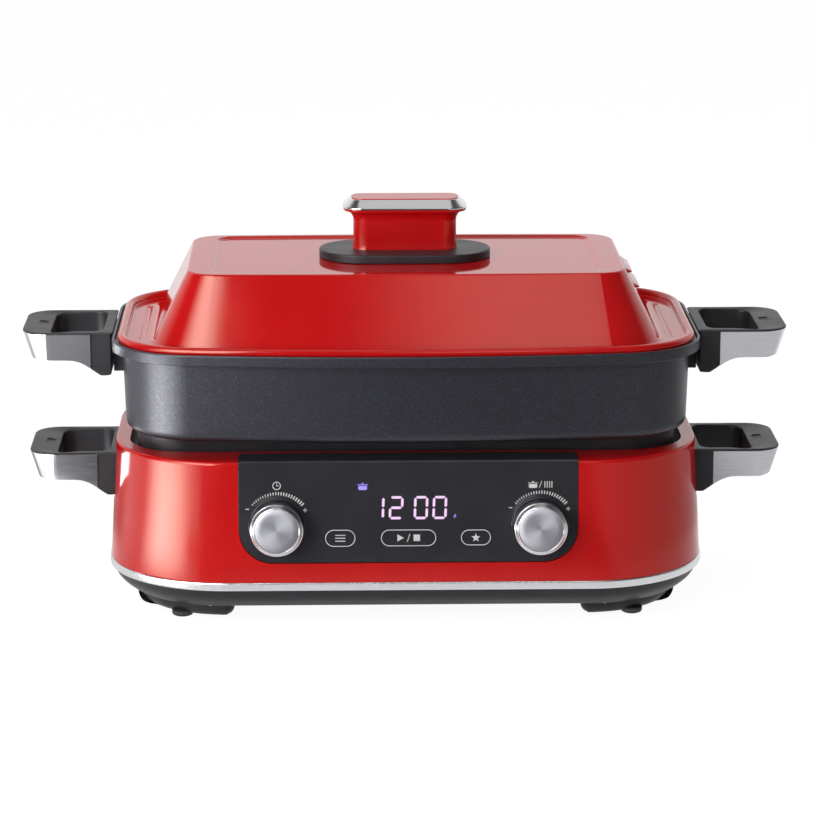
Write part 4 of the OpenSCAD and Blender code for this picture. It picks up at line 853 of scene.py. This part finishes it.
def hood_section(f, inset, z):
    """Section of the hood between its foot at f = 0 and its flat top at f = 1."""
    return (
        HOOD_X + (TOP_X - HOOD_X) * f - inset,
        HOOD_Y + (TOP_Y - HOOD_Y) * f - inset,
        HOOD_CORNER + (TOP_CORNER - HOOD_CORNER) * f - inset,
        BOW * (1 - f * BOW_LOST),
        z,
    )


def groove(side):
    x, z = side * (HOOD_X + GROOVE_IN), FLANGE_Z + GROOVE_UP
    arc = [(-GROOVE_R * cos(pi * i / 8), -GROOVE_R * sin(pi * i / 8)) for i in range(9)]
    return loft(GROOVE_ENDS, lambda end: [
        (x + px * end[1], MID_Y + end[0], z + pz * end[1]) for px, pz in arc])


def make_lid():
    low, top = LID_LO.z, LID_HI.z
    floor = top - RECESS_H
    section = insets(LID_HI.x, LID_Y, LID_CORNER, BOW)
    recess = insets(TOP_X - RECESS_SIDE, TOP_Y - RECESS_FRONT, RECESS_CORNER, BOW * (1 - BOW_LOST))
    bead = [(section(BEAD_R * (1 - sin(a)), low + BEAD_R * (1 - cos(a))), 0)
            for a in (radians(22.5) * i for i in range(13))]
    corners = [
        (hood_section(1, LID_T + 8, floor - LID_T), 0),
        (hood_section(1, LID_T, floor - LID_T), 3),
        (hood_section(0, LID_T, low), 1.5),
        *bead,
        (section(2 * BEAD_R, FLANGE_Z), 0.6),
        (hood_section(0, 0, FLANGE_Z), 2.2),
        (hood_section(1, 0, top), 1.3),
        *rows(recess, (0, top, 1.0), (1.6, floor, 1.2), (8, floor, 0)),
    ]
    grooves = joined([groove(-1), groove(1)])
    pressing("lid_pressing", corners, "red_enamel", "lid", "lid_shell", tools=[(grooves, "DIFFERENCE")])


# Louvres on the right slope of the hood. The lip's points are shares of how far it stands out; those at 0
# are sunk in the slope. The ends are distances from an end and shares of the whole lip.
LOUVRE_L = 44
LOUVRE_OUT = 3.6
LOUVRE_DOWN = 8.5
LOUVRE_PITCH = 10
LOUVRE_SUNK = 1.0
LOUVRE_LIP = ((0, 0.62), (0.35, 0.30), (0.8, 0.02), (1, -0.14), (0.96, -0.22), (0.5, -0.2), (0, -0.26))
LOUVRE_ENDS = ((0, 0.15), (0.6, 0.5), (1.6, 0.85), (3, 1))


def make_louvres():
    slope = (HOOD_X - TOP_X) / (LID_HI.z - FLANGE_Z)
    ends = [(along - LOUVRE_L / 2, share) for along, share in LOUVRE_ENDS]
    ends += [(-y, share) for y, share in ends[::-1]]
    skins = []
    for down in (LOUVRE_DOWN, LOUVRE_DOWN + LOUVRE_PITCH):
        x, z = TOP_X + down * slope, LID_HI.z - down
        skins.append(loft(ends, lambda end: [
            (x + (LOUVRE_OUT * end[1] * out if out else -LOUVRE_SUNK), MID_Y + end[0], z + LOUVRE_OUT * up)
            for out, up in LOUVRE_LIP]))
    piece("steam_louvres", joined(skins), "red_enamel", "lid")


# Knob: neck, its widening at the top, and the bevel, wall and corners of the bright ring
NECK_X, NECK_Y = 34, 10
NECK_FLARE = 7
NECK_CORNER = 13
RING_BEVEL = 5.2
RING_WALL = 0.8
CAP_CORNER = 6.8


def neck_section(out, z):
    return NECK_X + out, NECK_Y + out, min(NECK_Y - 1 + out, NECK_CORNER), 0, z


def make_knob():
    low, high = PLATE_LO.z, PLATE_HI.z
    plate_y = half_depth(PLATE_LO, PLATE_HI)
    plate = rows(insets(PLATE_HI.x, plate_y, plate_y - 0.3), (4, low, 0), (0, low, 0.6), (0, high, 1.2),
                 (5, high, 0))
    pressing("plate_under_knob", plate, "black_plastic", "lid", "knob_plate")
    low, high, flare = NECK_LO.z, NECK_HI.z - 2, NECK_FLARE
    wide = flare - 0.5
    sections = [neck_section(out, low + up) for out, up in ((-2, 0), (0.5, 0), (0.15, 2), (0, 6))]
    sections += [neck_section(flare * (1 - cos(a)), high - flare * (1 - sin(a)))
                 for a in (radians(11) * i for i in range(8))]
    sections += eased(rows(neck_section, (wide - 0.3, high, 0), (wide, high + 0.5, 0.4),
                           (wide, high + 2, 0.4), (wide - 3.5, high + 2, 0)))
    weigh(piece("knob_neck", loft(sections), "red_plastic", "lid", "knob_body"))
    low, high, inner = RING_LO.z, RING_HI.z, RING_BEVEL + RING_WALL
    ring = rows(insets(RING_HI.x, half_depth(RING_LO, RING_HI), NECK_CORNER), (0, low, 0.2),
                (0, low + 1, 0.35), (RING_BEVEL, high, 0.3), (inner, high, 0.1), (inner, low, 0))
    pressing("bright_ring_of_knob", ring, "bright_trim", "lid", "knob_ring", chrome, cyclic=True)
    low, high = CAP_LO.z, CAP_HI.z
    cap = rows(insets(CAP_HI.x, half_depth(CAP_LO, CAP_HI), CAP_CORNER), (2, low, 0), (0, low, 0),
               (0, high, 0.5), (3, high, 0))
    pressing("inset_of_knob", cap, "red_plastic", "lid", "knob_cap")


make_pan()
make_lid()
make_louvres()
make_knob()

# Side handles, in a frame from the foot outwards and from the foot's bottom up
HANDLE_L = 60
HANDLE_Y = 37.5
LOOP_H = 19
FOOT_H = 29
HOLE = (6.5, 41)
BAR_W = 6
HOLE_R = 8
TIP_R = 17
TIP_SLANT = 6.0
STRIP_START = 14.5
STRIP_T = 1.2
STRIP_DOWN = 1.2
STRIP_EDGE = 0.55
SCOOP = 1.2
UNDERSIDE = [(0, 0), (8, 0), (11.5, 2.2), (15.5, 5.2), (19, 7.4), (22.5, 8.9), (26.5, 9.8), (30.5, 10),
             (HANDLE_L, 10)]

# Sections of a grip's skin: inset from its outside, share of the way to the finger hole, share of the way
# down, and lift
GRIP_SKIN = [
    (1.6, 0, 0, 0), (0.8, 0, 0, -0.1), (0.25, 0, 0, -0.4), (0, 0, 0, -1.0),
    (0, 0, 0, -STRIP_DOWN), (STRIP_T, 0, 0, -STRIP_DOWN - 0.05), (STRIP_T, 0, 0.5, 0),
    (STRIP_T, 0, 1, 1.2), (STRIP_T + 0.5, 0, 1, 0.4), (STRIP_T + 1.6, 0, 1, 0),
    (0, 0.35, 1, 0), (0, 0.7, 1, 0), (0, 0.93, 1, 0), (0, 0.98, 1, 0.25), (0, 1, 1, 0.9),
    (0, 1, 0.5, 0), (0, 1, 0, -1.4), (0, 0.985, 0, -0.6), (0, 0.94, 0, -0.15), (0, 0.85, 0, 0),
    (0, 0.7, 0, 0), (0, 0.5, 0, 0), (0, 0.35, 0, 0),
]


def smooth(t):
    t = min(1, max(0, t))
    return t * t * (3 - 2 * t)


def underside(x):
    """Height of a handle's underside at x."""
    for (x0, z0), (x1, z1) in zip(UNDERSIDE, UNDERSIDE[1:]):
        if x <= x1:
            return z0 + (z1 - z0) * max(0, x - x0) / (x1 - x0)
    return UNDERSIDE[-1][1]


# Steps along a side of a handle's outline and round its corners
TRACK_SIDE = 15
TRACK_CORNER = 8


def track(x0, x1, hy, r0, r1):
    """Closed outline of a rectangle with corner radii r0 at x0 and r1 at x1, from x0 round the tip."""
    steps = [pi / 2 * i / TRACK_CORNER for i in range(1, TRACK_CORNER + 1)]
    half = [(x0 + r0 - r0 * sin(a), hy - r0 + r0 * cos(a)) for a in reversed(steps)]
    half += [(x0 + r0 + (x1 - r1 - x0 - r0) * i / TRACK_SIDE, hy) for i in range(TRACK_SIDE + 1)]
    half += [(x1 - r1 + r1 * sin(a), hy - r1 + r1 * cos(a)) for a in steps]
    return [(x, -y) for x, y in half] + half[::-1]


def tip_lean(x, z, share=0):
    """How far a grip's skin leans inwards at its tip, less so towards the finger hole."""
    at_tip = TIP_SLANT * smooth((x - HANDLE_L + TIP_R + 2) / TIP_R)
    return at_tip * (1 - share) ** 2 * (FOOT_H - z) / LOOP_H


def handle_ring(section):
    """Ring of a grip's skin for a row of GRIP_SKIN."""
    inset, share, down, lift = section
    outer = track(inset, HANDLE_L - inset, HANDLE_Y - inset, max(0.6, 1.2 - inset), TIP_R - inset)
    hole = track(HOLE[0], HOLE[1], HANDLE_Y - BAR_W, HOLE_R, HOLE_R)
    points = []
    for (ox, oy), (hx, hy) in zip(outer, hole):
        x, y = mix((ox, oy), (hx, hy), share)
        top = FOOT_H - SCOOP * smooth((hx - 22) / 18) * smooth(share) ** 1.5
        z = top + (underside(x) - top) * down + lift
        points.append((x - tip_lean(ox, z, share), y, z))
    return points


def strip_skin():
    """Bright strip round a grip: a thin plate that follows its outside."""
    outline = track(0, HANDLE_L, HANDLE_Y, 1.2, TIP_R)
    inner = track(STRIP_T, HANDLE_L - STRIP_T, HANDLE_Y - STRIP_T, 1.0, TIP_R - STRIP_T)
    pairs = [(o, i) for o, i in zip(outline, inner) if o[0] > STRIP_START]
    first = next(k for k, pair in enumerate(pairs) if pair[0][1] < 0)
    ends = [((STRIP_START, y), (STRIP_START, y - copysign(STRIP_T, y))) for y in (-HANDLE_Y, HANDLE_Y)]
    top = FOOT_H - STRIP_DOWN
    edge = STRIP_EDGE / STRIP_T

    def ring(pair):
        low = underside(pair[0][0]) + 0.3
        points = []
        for share, z in ((1, low), (1 - edge, low), (edge, low), (0.08, low + 0.1), (0, low + STRIP_EDGE),
                         (0, top - STRIP_EDGE), (0.08, top - 0.1), (edge, top), (1 - edge, top), (1, top)):
            x, y = mix(*pair, share)
            points.append((x - tip_lean(x, z), y, z))
        return points

    return loft([ends[0], *pairs[first:], *pairs[:first], ends[1]], ring)


# Shallow mark on top of a grip's tip: its middle and half sizes, depth, share of the scoop there, and tilt
DENT = (47.5, 2.8, 6.5)
DENT_DEEP = 0.8
DENT_CORNER = 2
DENT_SHARE = 0.65
DENT_TILT = 0.1


def dent_skin():
    """Tool for the mark."""
    middle, hx, hy = DENT
    top = FOOT_H - SCOOP * DENT_SHARE

    def ring(section):
        grow, z = section
        points = rounded_box(-hx - grow, -hy - grow, hx + grow, hy + grow, DENT_CORNER + grow, 5)
        return [(middle + x, y, z + x * DENT_TILT) for x, y in points]

    floor = top - DENT_DEEP
    return loft([(-0.7, floor), (0, floor + 0.25), (0.6, top + 0.35), (0.6, top + 3)], ring)


def make_handles():
    for where in ("pan", "base"):
        for side, turn in (("left", pi), ("right", 0)):
            node = f"{side}_{where}_grip"
            lo, hi = box_mm(node)
            matrix = Matrix.Translation((0, MID_Y, 0)) @ Matrix.Rotation(turn, 4, "Z")
            matrix = matrix @ Matrix.Translation((min(abs(lo.x), abs(hi.x)), 0, hi.z - FOOT_H))
            grip = piece(f"{side}_{where}_handle", moved(loft(GRIP_SKIN, handle_ring, cyclic=True), matrix),
                         "black_plastic", where, node)
            carve(grip, [(moved(dent_skin(), matrix), "DIFFERENCE")])
            weigh(grip)
            weigh(piece(f"{side}_{where}_handle_strip", moved(strip_skin(), matrix), "bright_trim", where,
                        f"{side}_{where}_strip", strip_metal))


make_handles()

# Spring under the temperature probe. Its wire lies SPRING_EVEN evenly and closer towards the ends.
SPRING_WIRE = 0.9
SPRING_TURNS = 4
SPRING_STEPS = 24
SPRING_EVEN = 0.65


def make_spring():
    """Coil under the probe. Its mesh keeps its length as the probe is pressed down."""
    lo, hi = box_mm("probe_spring")
    middle = (lo + hi) / 2
    wire = SPRING_WIRE / 2
    radius = (hi.x - lo.x) / 2 - wire
    tall = hi.z - lo.z

    def ring(share):
        turn = tau * SPRING_TURNS * share
        up = smooth(share) * (1 - SPRING_EVEN) + share * SPRING_EVEN
        z = lo.z + wire + (tall - SPRING_WIRE) * up
        around = Vector((cos(turn), sin(turn), 0))
        at = Vector((middle.x, middle.y, z))
        return [at + around * (radius + out) + Vector((0, 0, rise)) for out, rise in circle(0, 0, wire, 10)]

    steps = SPRING_TURNS * SPRING_STEPS
    coil = piece("coil_under_probe", loft([i / steps for i in range(steps + 1)], ring), "sheet_steel", "base",
                 "probe_spring", SLOT_FINISH["fastener_steel"])
    coil.data.shade_smooth()
    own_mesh(coil)


make_spring()

# Dials
DIAL_X = 84.5
DIAL_DOWN = 42
DIAL_R = 17
FACE_R = 14.25
FACE_DEEP = 0.7
DIAL_L = 15
DIAL_GAP = 0.6
DIAL_RIBS = 60
RIB_DEEP = 0.45
RIB_END = 2.6
BEZEL_GAP = 0.4
BEZEL_W = 1


def dial_matrix(side):
    """Frame of a dial, on the panel's face, +Z out of it, in metres."""
    at = FRONT @ Vector((side * DIAL_X, -DIAL_DOWN, PANEL_PROUD))
    return Matrix.Translation(at * MM) @ FRONT.to_3x3().to_4x4()


def make_dials():
    def rib(r, z, a):
        if r < DIAL_R - 0.01 or z > DIAL_L - RIB_END:
            return r
        return r - RIB_DEEP * (0.5 - 0.5 * cos(DIAL_RIBS * a))

    front = DIAL_GAP + DIAL_L
    floor = front - FACE_DEEP
    knob = [
        (3, DIAL_GAP), (DIAL_R - 1.5, DIAL_GAP), (DIAL_R, DIAL_GAP + 0.5), (DIAL_R, front - 4.2),
        (DIAL_R, front - 3.0), (DIAL_R - 0.1, front - 2.5), (DIAL_R - 0.45, front - 2.25),
        (DIAL_R - 0.65, front - 2.0), (FACE_R + 0.75, front - 0.2), (FACE_R + 0.55, front - 0.05),
        (FACE_R + 0.35, front), (FACE_R + 0.15, front), (FACE_R, front - 0.12), (FACE_R, floor), (3, floor),
    ]
    face = [(0.3, floor), (FACE_R - 0.1, floor), (FACE_R - 0.1, front - 0.2), (FACE_R - 0.3, front - 0.08),
            (10, front), (0.3, front + 0.02)]
    inner, outer = DIAL_R + BEZEL_GAP, DIAL_R + BEZEL_GAP + BEZEL_W
    ring = [(inner, 0), (inner, 0.6), (inner + 0.2, 0.8), (outer - 0.25, 0.8), (outer, 0.55), (outer, 0)]
    for side, name in ((-1, "left"), (1, "right")):
        matrix = dial_matrix(side)
        dial = f"{name}_dial"
        weigh(piece(f"{name}_dial_knob", lathe(knob, DIAL_RIBS * 6, rib), "dial_metal", dial, dial,
                    matrix=matrix))
        piece(f"{name}_dial_disc", lathe(face, 96), "dial_metal", dial, f"{name}_dial_face", turned_metal,
              matrix)
        piece(f"{name}_bezel", lathe(ring, 96, cyclic=True), "black_plastic", "base", f"{name}_dial_ring",
              panel_gloss, matrix)


make_dials()

# Printing and lit signs of the panel: x to the right of its middle, s down its front from the fold
PRINT_LOW = PANEL_PROUD - 0.2
PRINT_HIGH = PANEL_PROUD + 0.05
TICKS = 22
TICK_FROM, TICK_TO = radians(137.5), radians(41)
TICK_R = 20.5
TICK_LONG = (1.3, 2.6)
TICK_WIDE = (0.35, 0.9)
SIGN_S = 15.4
MINUS_AT = (-19, 30.6)
PLUS_AT = (18.1, 31.5)
PILL_S = 50
PILL_LINE = 0.5
PILLS = ((-43.9, 19.4, 11.1), (0, 35.5, 10.9), (43.3, 19.2, 10.3))
DIGIT_TOP, DIGIT_H = 22.6, 15.2
DIGIT_BAR = 1.65
DIGIT_GAP = 0.3
DIGIT_SLANT = 0.035
DIGITS = ((-17.9, 2.4, "1"), (-12.6, 9.3, "2"), (3.4, 9.2, "0"), (15.4, 9.3, "0"))
LIT_BARS = {"0": "abcdef", "1": "bc", "2": "abged"}
LIT_POT = (-29.4, 16.4, 5.6)
LIT_BOLT = (29.8, 35.8)
BOLT = [(0.7, -1.7), (-1.1, 0.3), (-0.1, 0.3), (-0.7, 1.7), (1.1, -0.4), (0.1, -0.4)]


def pill(x, s, w, h):
    """Outline of a box with round ends."""
    return rounded_box(x - w / 2, s - h / 2, x + w / 2, s + h / 2, h / 2 - 0.01, 14)


def stroke(x0, s0, x1, s1, wide):
    """Thin plate over a straight line of the print."""
    along = Vector((x1 - x0, s1 - s0)).normalized() * wide / 2
    side = Vector((-along.y, along.x))
    a, b = Vector((x0, s0)) - along, Vector((x1, s1)) + along
    return inked([tuple(a + side), tuple(b + side), tuple(b - side), tuple(a - side)])


def inked(outline):
    """Thin plate over an outline of the print."""
    return moved(prism([(x, -s) for x, s in outline], PRINT_LOW, PRINT_HIGH), FRONT)


def inked_line(outer, inner):
    """Thin frame between two outlines with the same count of points."""
    rings = [(outer, PRINT_LOW), (outer, PRINT_HIGH), (inner, PRINT_HIGH), (inner, PRINT_LOW)]
    return moved(loft(rings, lambda e: [(x, -s, e[1]) for x, s in e[0]], cyclic=True), FRONT)


def star(x, s, r, points=5):
    made = []
    for i in range(2 * points):
        a = pi * i / points - pi / 2
        reach = r if i % 2 == 0 else r * 0.42
        made.append((x + reach * cos(a), s + reach * sin(a)))
    return inked(made)


def clock_sign(x, s, r):
    return [inked_line(circle(x, s, r), circle(x, s, r - 0.5)), stroke(x, s, x, s - r * 0.55, 0.42),
            stroke(x + 0.1, s, x + r * 0.45, s, 0.42)]


def pot_sign(x, s, w):
    """Small pot with its lid."""
    h = w * 0.36
    low = w * 0.16
    return [inked(rounded_box(x - w / 2, s - h * 0.35, x + w / 2, s + h, (0.1, 0.1, low, low), 6)),
            stroke(x - w * 0.56, s - h * 0.72, x + w * 0.56, s - h * 0.72, w * 0.07),
            stroke(x - w * 0.08, s - h * 1.15, x + w * 0.08, s - h * 1.15, w * 0.09)]


def tick_marks(side):
    """Marks over a dial that grow clockwise."""
    made = []
    for i in range(TICKS):
        t = i / (TICKS - 1)
        a = TICK_FROM + (TICK_TO - TICK_FROM) * t
        long = TICK_LONG[0] + (TICK_LONG[1] - TICK_LONG[0]) * t
        wide = TICK_WIDE[0] + (TICK_WIDE[1] - TICK_WIDE[0]) * t
        ends = [(side * DIAL_X + r * cos(a), DIAL_DOWN - r * sin(a))
                for r in (TICK_R + wide / 2, TICK_R + long - wide / 2)]
        made.append(stroke(*ends[0], *ends[1], wide))
    return made


def digit_bars(x, w, sign):
    """Outlines of a digit's lit bars in its cell."""
    half = DIGIT_BAR / 2
    left, right, top, low = x + half, x + w - half, DIGIT_TOP + half, DIGIT_TOP + DIGIT_H - half
    mid = (top + low) / 2
    ends = {"a": (left, top, right, top), "g": (left, mid, right, mid), "d": (left, low, right, low),
            "f": (left, top, left, mid), "b": (right, top, right, mid), "e": (left, mid, left, low),
            "c": (right, mid, right, low)}
    made = []
    for bar in LIT_BARS[sign]:
        a, b = Vector(ends[bar][:2]), Vector(ends[bar][2:])
        along = (b - a).normalized()
        side = Vector((-along.y, along.x)) * half
        a, b, nip = a + along * DIGIT_GAP, b - along * DIGIT_GAP, along * half
        points = (a, a + nip + side, b - nip + side, b, b - nip - side, a + nip - side)
        made.append([(p.x + DIGIT_SLANT * (mid - p.y), p.y) for p in points])
    return made


def dial_signs():
    """Minus and plus beside each dial, a clock over the left one, and a pot with bars over the right."""
    marks = []
    for side in (-1, 1):
        marks += tick_marks(side)
        x, s = side * DIAL_X + MINUS_AT[0], MINUS_AT[1]
        marks.append(stroke(x - 0.9, s, x + 0.9, s, 0.5))
        x, s = side * DIAL_X + PLUS_AT[0], PLUS_AT[1]
        marks += [stroke(x - 1.05, s, x + 1.05, s, 0.55), stroke(x, s - 1.05, x, s + 1.05, 0.55)]
    marks += clock_sign(-DIAL_X, SIGN_S, 2.7)
    marks += pot_sign(DIAL_X - 4.6, SIGN_S + 0.4, 5.4)
    marks.append(stroke(DIAL_X - 0.5, SIGN_S + 2, DIAL_X + 1, SIGN_S - 2, 0.4))
    bars = [DIAL_X + 3 + i * 1.5 for i in range(4)]
    return marks + [stroke(x, SIGN_S - 1.7, x, SIGN_S + 1.9, 0.6) for x in bars]


def key_signs():
    """Frames of the three keys, with lines, play and stop, and a star."""
    marks = [inked_line(pill(x, PILL_S, w, h), pill(x, PILL_S, w - 2 * PILL_LINE, h - 2 * PILL_LINE))
             for x, w, h in PILLS]
    menu, _, star_x = (x for x, _, _ in PILLS)
    marks += [stroke(menu - 3, s, menu + 3, s, 0.55) for s in (PILL_S - 1.9, PILL_S, PILL_S + 1.9)]
    return marks + [
        inked([(-7.2, PILL_S - 2.4), (-3, PILL_S), (-7.2, PILL_S + 2.4)]),
        stroke(-0.8, PILL_S + 2.3, 0.8, PILL_S - 2.3, 0.5),
        inked(rounded_box(3.2, PILL_S - 2.1, 7.4, PILL_S + 2.1, 0)),
        star(star_x, PILL_S + 0.2, 3),
    ]


def make_printing():
    piece("panel_print", joined(dial_signs() + key_signs()), "panel_plastic", "base", finish=white_print)
    bars = [inked(bar) for x, w, sign in DIGITS for bar in digit_bars(x, w, sign)]
    piece("display_digits", joined(bars), "display_glass", "base", finish=digit_glow)
    bolt = inked([(LIT_BOLT[0] + x, LIT_BOLT[1] + s) for x, s in BOLT])
    piece("display_signs", joined([*pot_sign(*LIT_POT), bolt]), "display_glass", "base", finish=sign_glow)


make_printing()
dress_frame()

# Camera, from the photograph's angle
CAMERA_TARGET = Vector((1.5, MID_Y - 1, 120.9)) * MM
CAMERA_DISTANCE = 2.268
CAMERA_DOWN = radians(13.43)
CAMERA_TURN = radians(-1.37)


def aimed(name, data, where, aim):
    """Object at where that looks at aim."""
    obj = new_object(name, data)
    obj.location = where
    obj.rotation_mode = "QUATERNION"
    obj.rotation_quaternion = (Vector(aim) - Vector(where)).to_track_quat("-Z", "Y")
    return obj


def make_camera():
    data = bpy.data.cameras.new("camera")
    data.lens = 150
    data.sensor_width = 36
    data.clip_end = 50
    back = Vector((
        sin(CAMERA_TURN) * cos(CAMERA_DOWN),
        -cos(CAMERA_TURN) * cos(CAMERA_DOWN),
        sin(CAMERA_DOWN),
    ))
    where = CAMERA_TARGET + back * CAMERA_DISTANCE
    bpy.context.scene.camera = aimed("camera", data, where, CAMERA_TARGET)


def softbox(name, where, size, power):
    """Rectangular lamp of size (width, height) in metres that faces the object."""
    data = bpy.data.lights.new(name, "AREA")
    data.shape = "RECTANGLE"
    data.size, data.size_y = size
    data.energy = power
    lamp = aimed(name, data, where, (0, 0, 0.12))
    lamp.visible_camera = False
    lamp.visible_glossy = False


# Surroundings that only glossy rays see. Strength 1 is white, distances are in metres, and angles in
# degrees, counted to the left of the front or above the horizon.
CARD_GLOW = 17
TALL_GLOW = 10
FAINT_GLOW = 1.9
FLOOR_MOST = 0.9

# Strength of the world for diffuse light, and of the floor for the camera, with its share over the shading
WORLD_DIFFUSE = 0.32
FLOOR_GLOW = 1.12
FLOOR_SHARE = 0.84
FLOOR_REACH = 20


def fade(tree, value, start, end, low=0, high=1):
    """Smooth step of a value: low at start, high at end."""
    return spread(tree, value, low, high, start, end, interpolation_type="SMOOTHSTEP")


def vector_sum(tree, operation, result, vector, other):
    return add(tree, "VectorMath", result, {0: vector, 1: other}, operation=operation)


def parts_of(tree, vector):
    return add(tree, "SeparateXYZ", "X", {"Vector": vector}).node.outputs


def directions(tree, vector):
    """Degrees to the left of the front and above the horizon, and the parts y and z, of a direction."""
    x, y, z = parts_of(tree, vector)
    left, front = (combined(tree, "MULTIPLY", part, -1) for part in (x, y))
    turn, rise = combined(tree, "ARCTAN2", left, front), combined(tree, "ARCSINE", z, 0)
    return combined(tree, "DEGREES", turn, 0), combined(tree, "DEGREES", rise, 0), y, z


def floor_glow(tree):
    """Strength of the floor in reflections: white round the object and behind it, dim far in front, and a
    very bright card on the left."""
    where = add(tree, "TexCoord", "Object", {})
    wide = vector_sum(tree, "MULTIPLY", "Vector", where, (0.72, 1, 1))
    near = vector_sum(tree, "DISTANCE", "Value", wide, (0, -0.05, 0))
    flag = vector_sum(tree, "DISTANCE", "Value", where, (-0.30, -0.36, 0))
    shifted = vector_sum(tree, "SUBTRACT", "Vector", where, (-0.117, -0.024, 0))
    far = vector_sum(tree, "LENGTH", "Value", shifted, (0, 0, 0))
    turn, _, y, _ = directions(tree, shifted)
    # The card's edge and body by angle, its fall to the left, its end behind, its near and far ends, and a
    # dark spot in it
    card = combined(
        tree, "MULTIPLY",
        combined(tree, "ADD", fade(tree, turn, 23, 28, 0, 0.13), fade(tree, turn, 27, 58, 0, 0.87)),
        fade(tree, turn, 62, 87, 1, 0.07),
        fade(tree, turn, 105, 125, 1, 0),
        fade(tree, far, 0.17, 0.34, 0, CARD_GLOW),
        fade(tree, far, 0.85, 1.1, 1, 0),
        fade(tree, flag, 0.04, 0.08),
    )
    x = parts_of(tree, where)["X"]
    # The pool round the object, then more on the left, on the right and behind
    white = combined(
        tree, "ADD",
        fade(tree, near, 0.21, 0.31, 0.9, 0.07),
        fade(tree, x, -0.20, -0.30, 0, 0.27),
        fade(tree, x, 0.20, 0.28, 0, 0.50),
        fade(tree, y, 0.15, 0.6, 0, 0.8),
    )
    return combined(tree, "ADD", combined(tree, "MINIMUM", white, FLOOR_MOST), card)


def make_floor():
    reach = FLOOR_REACH
    mesh = bpy.data.meshes.new("floor")
    mesh.from_pydata([(x, y, 0) for x, y in rounded_box(-reach, -reach, reach, reach, 0)], [], [(0, 1, 2, 3)])
    floor = new_object("floor", mesh)
    mat, tree, shader = node_finish("floor")
    feed(tree, shader, {"Base Color": (0.80, 0.80, 0.80, 1), "Roughness": 0.9})
    ray = tree.nodes.new("ShaderNodeLightPath").outputs
    seen = add(tree, "MixShader", "Shader", {
        "Fac": combined(tree, "MULTIPLY", ray["Is Camera Ray"], FLOOR_SHARE),
        1: shader.outputs["BSDF"],
        2: add(tree, "Emission", "Emission", {"Strength": FLOOR_GLOW}),
    })
    surface = add(tree, "MixShader", "Shader", {
        "Fac": ray["Is Glossy Ray"],
        1: seen,
        2: add(tree, "Emission", "Emission", {"Strength": floor_glow(tree)}),
    })
    feed(tree, tree.nodes["Material Output"], {"Surface": surface})
    floor.data.materials.append(mat)


def make_world():
    """White for the camera. For reflections: white behind the object, a light ceiling, a tall panel on the
    left that fades outwards, a faint one on the right, and dim in front."""
    world = bpy.data.worlds.new("studio")
    bpy.context.scene.world = world
    world.use_nodes = True
    tree = world.node_tree
    turn, rise, y, z = directions(tree, add(tree, "TexCoord", "Generated", {}))
    ceiling = combined(tree, "MULTIPLY", fade(tree, z, 0.94, 0.98, 0, 0.6), fade(tree, y, 0.05, 0.22, 1, 0.3))
    tall = combined(tree, "MULTIPLY", fade(tree, turn, 12.5, 14.5, 0, TALL_GLOW),
                    fade(tree, turn, 35, 80, 1, 0), fade(tree, rise, 46, 60, 1, 0))
    faint = combined(tree, "MULTIPLY", fade(tree, turn, 6, -12, 0, FAINT_GLOW),
                     fade(tree, turn, -19.5, -17.5), fade(tree, rise, 58, 66, 1, 0), fade(tree, rise, 28, 38))
    total = combined(tree, "ADD", fade(tree, y, 0.12, 0.6, 0.10, 1.0), ceiling, tall, faint)
    ray = tree.nodes.new("ShaderNodeLightPath").outputs
    glossy = add(tree, "Mix", "Result", {"Factor": ray["Is Glossy Ray"], "A": WORLD_DIFFUSE, "B": total})
    seen = add(tree, "Mix", "Result", {"Factor": ray["Is Camera Ray"], "A": glossy, "B": 1.0})
    feed(tree, tree.nodes["Background"], {"Color": (1, 1, 1, 1), "Strength": seen})


make_camera()
softbox("fill_left", (-0.75, -0.95, 0.5), (0.7, 0.7), 9.5)
softbox("fill_top", (0, -0.4, 2.0), (1.4, 1.0), 6)
softbox("fill_back_left", (-0.9, 1.0, 0.7), (0.8, 0.8), 6)
softbox("fill_back_right", (1.2, 0.9, 0.6), (0.8, 0.8), 4)
make_floor()
make_world()
bpy.context.scene.view_settings.view_transform = "Standard"
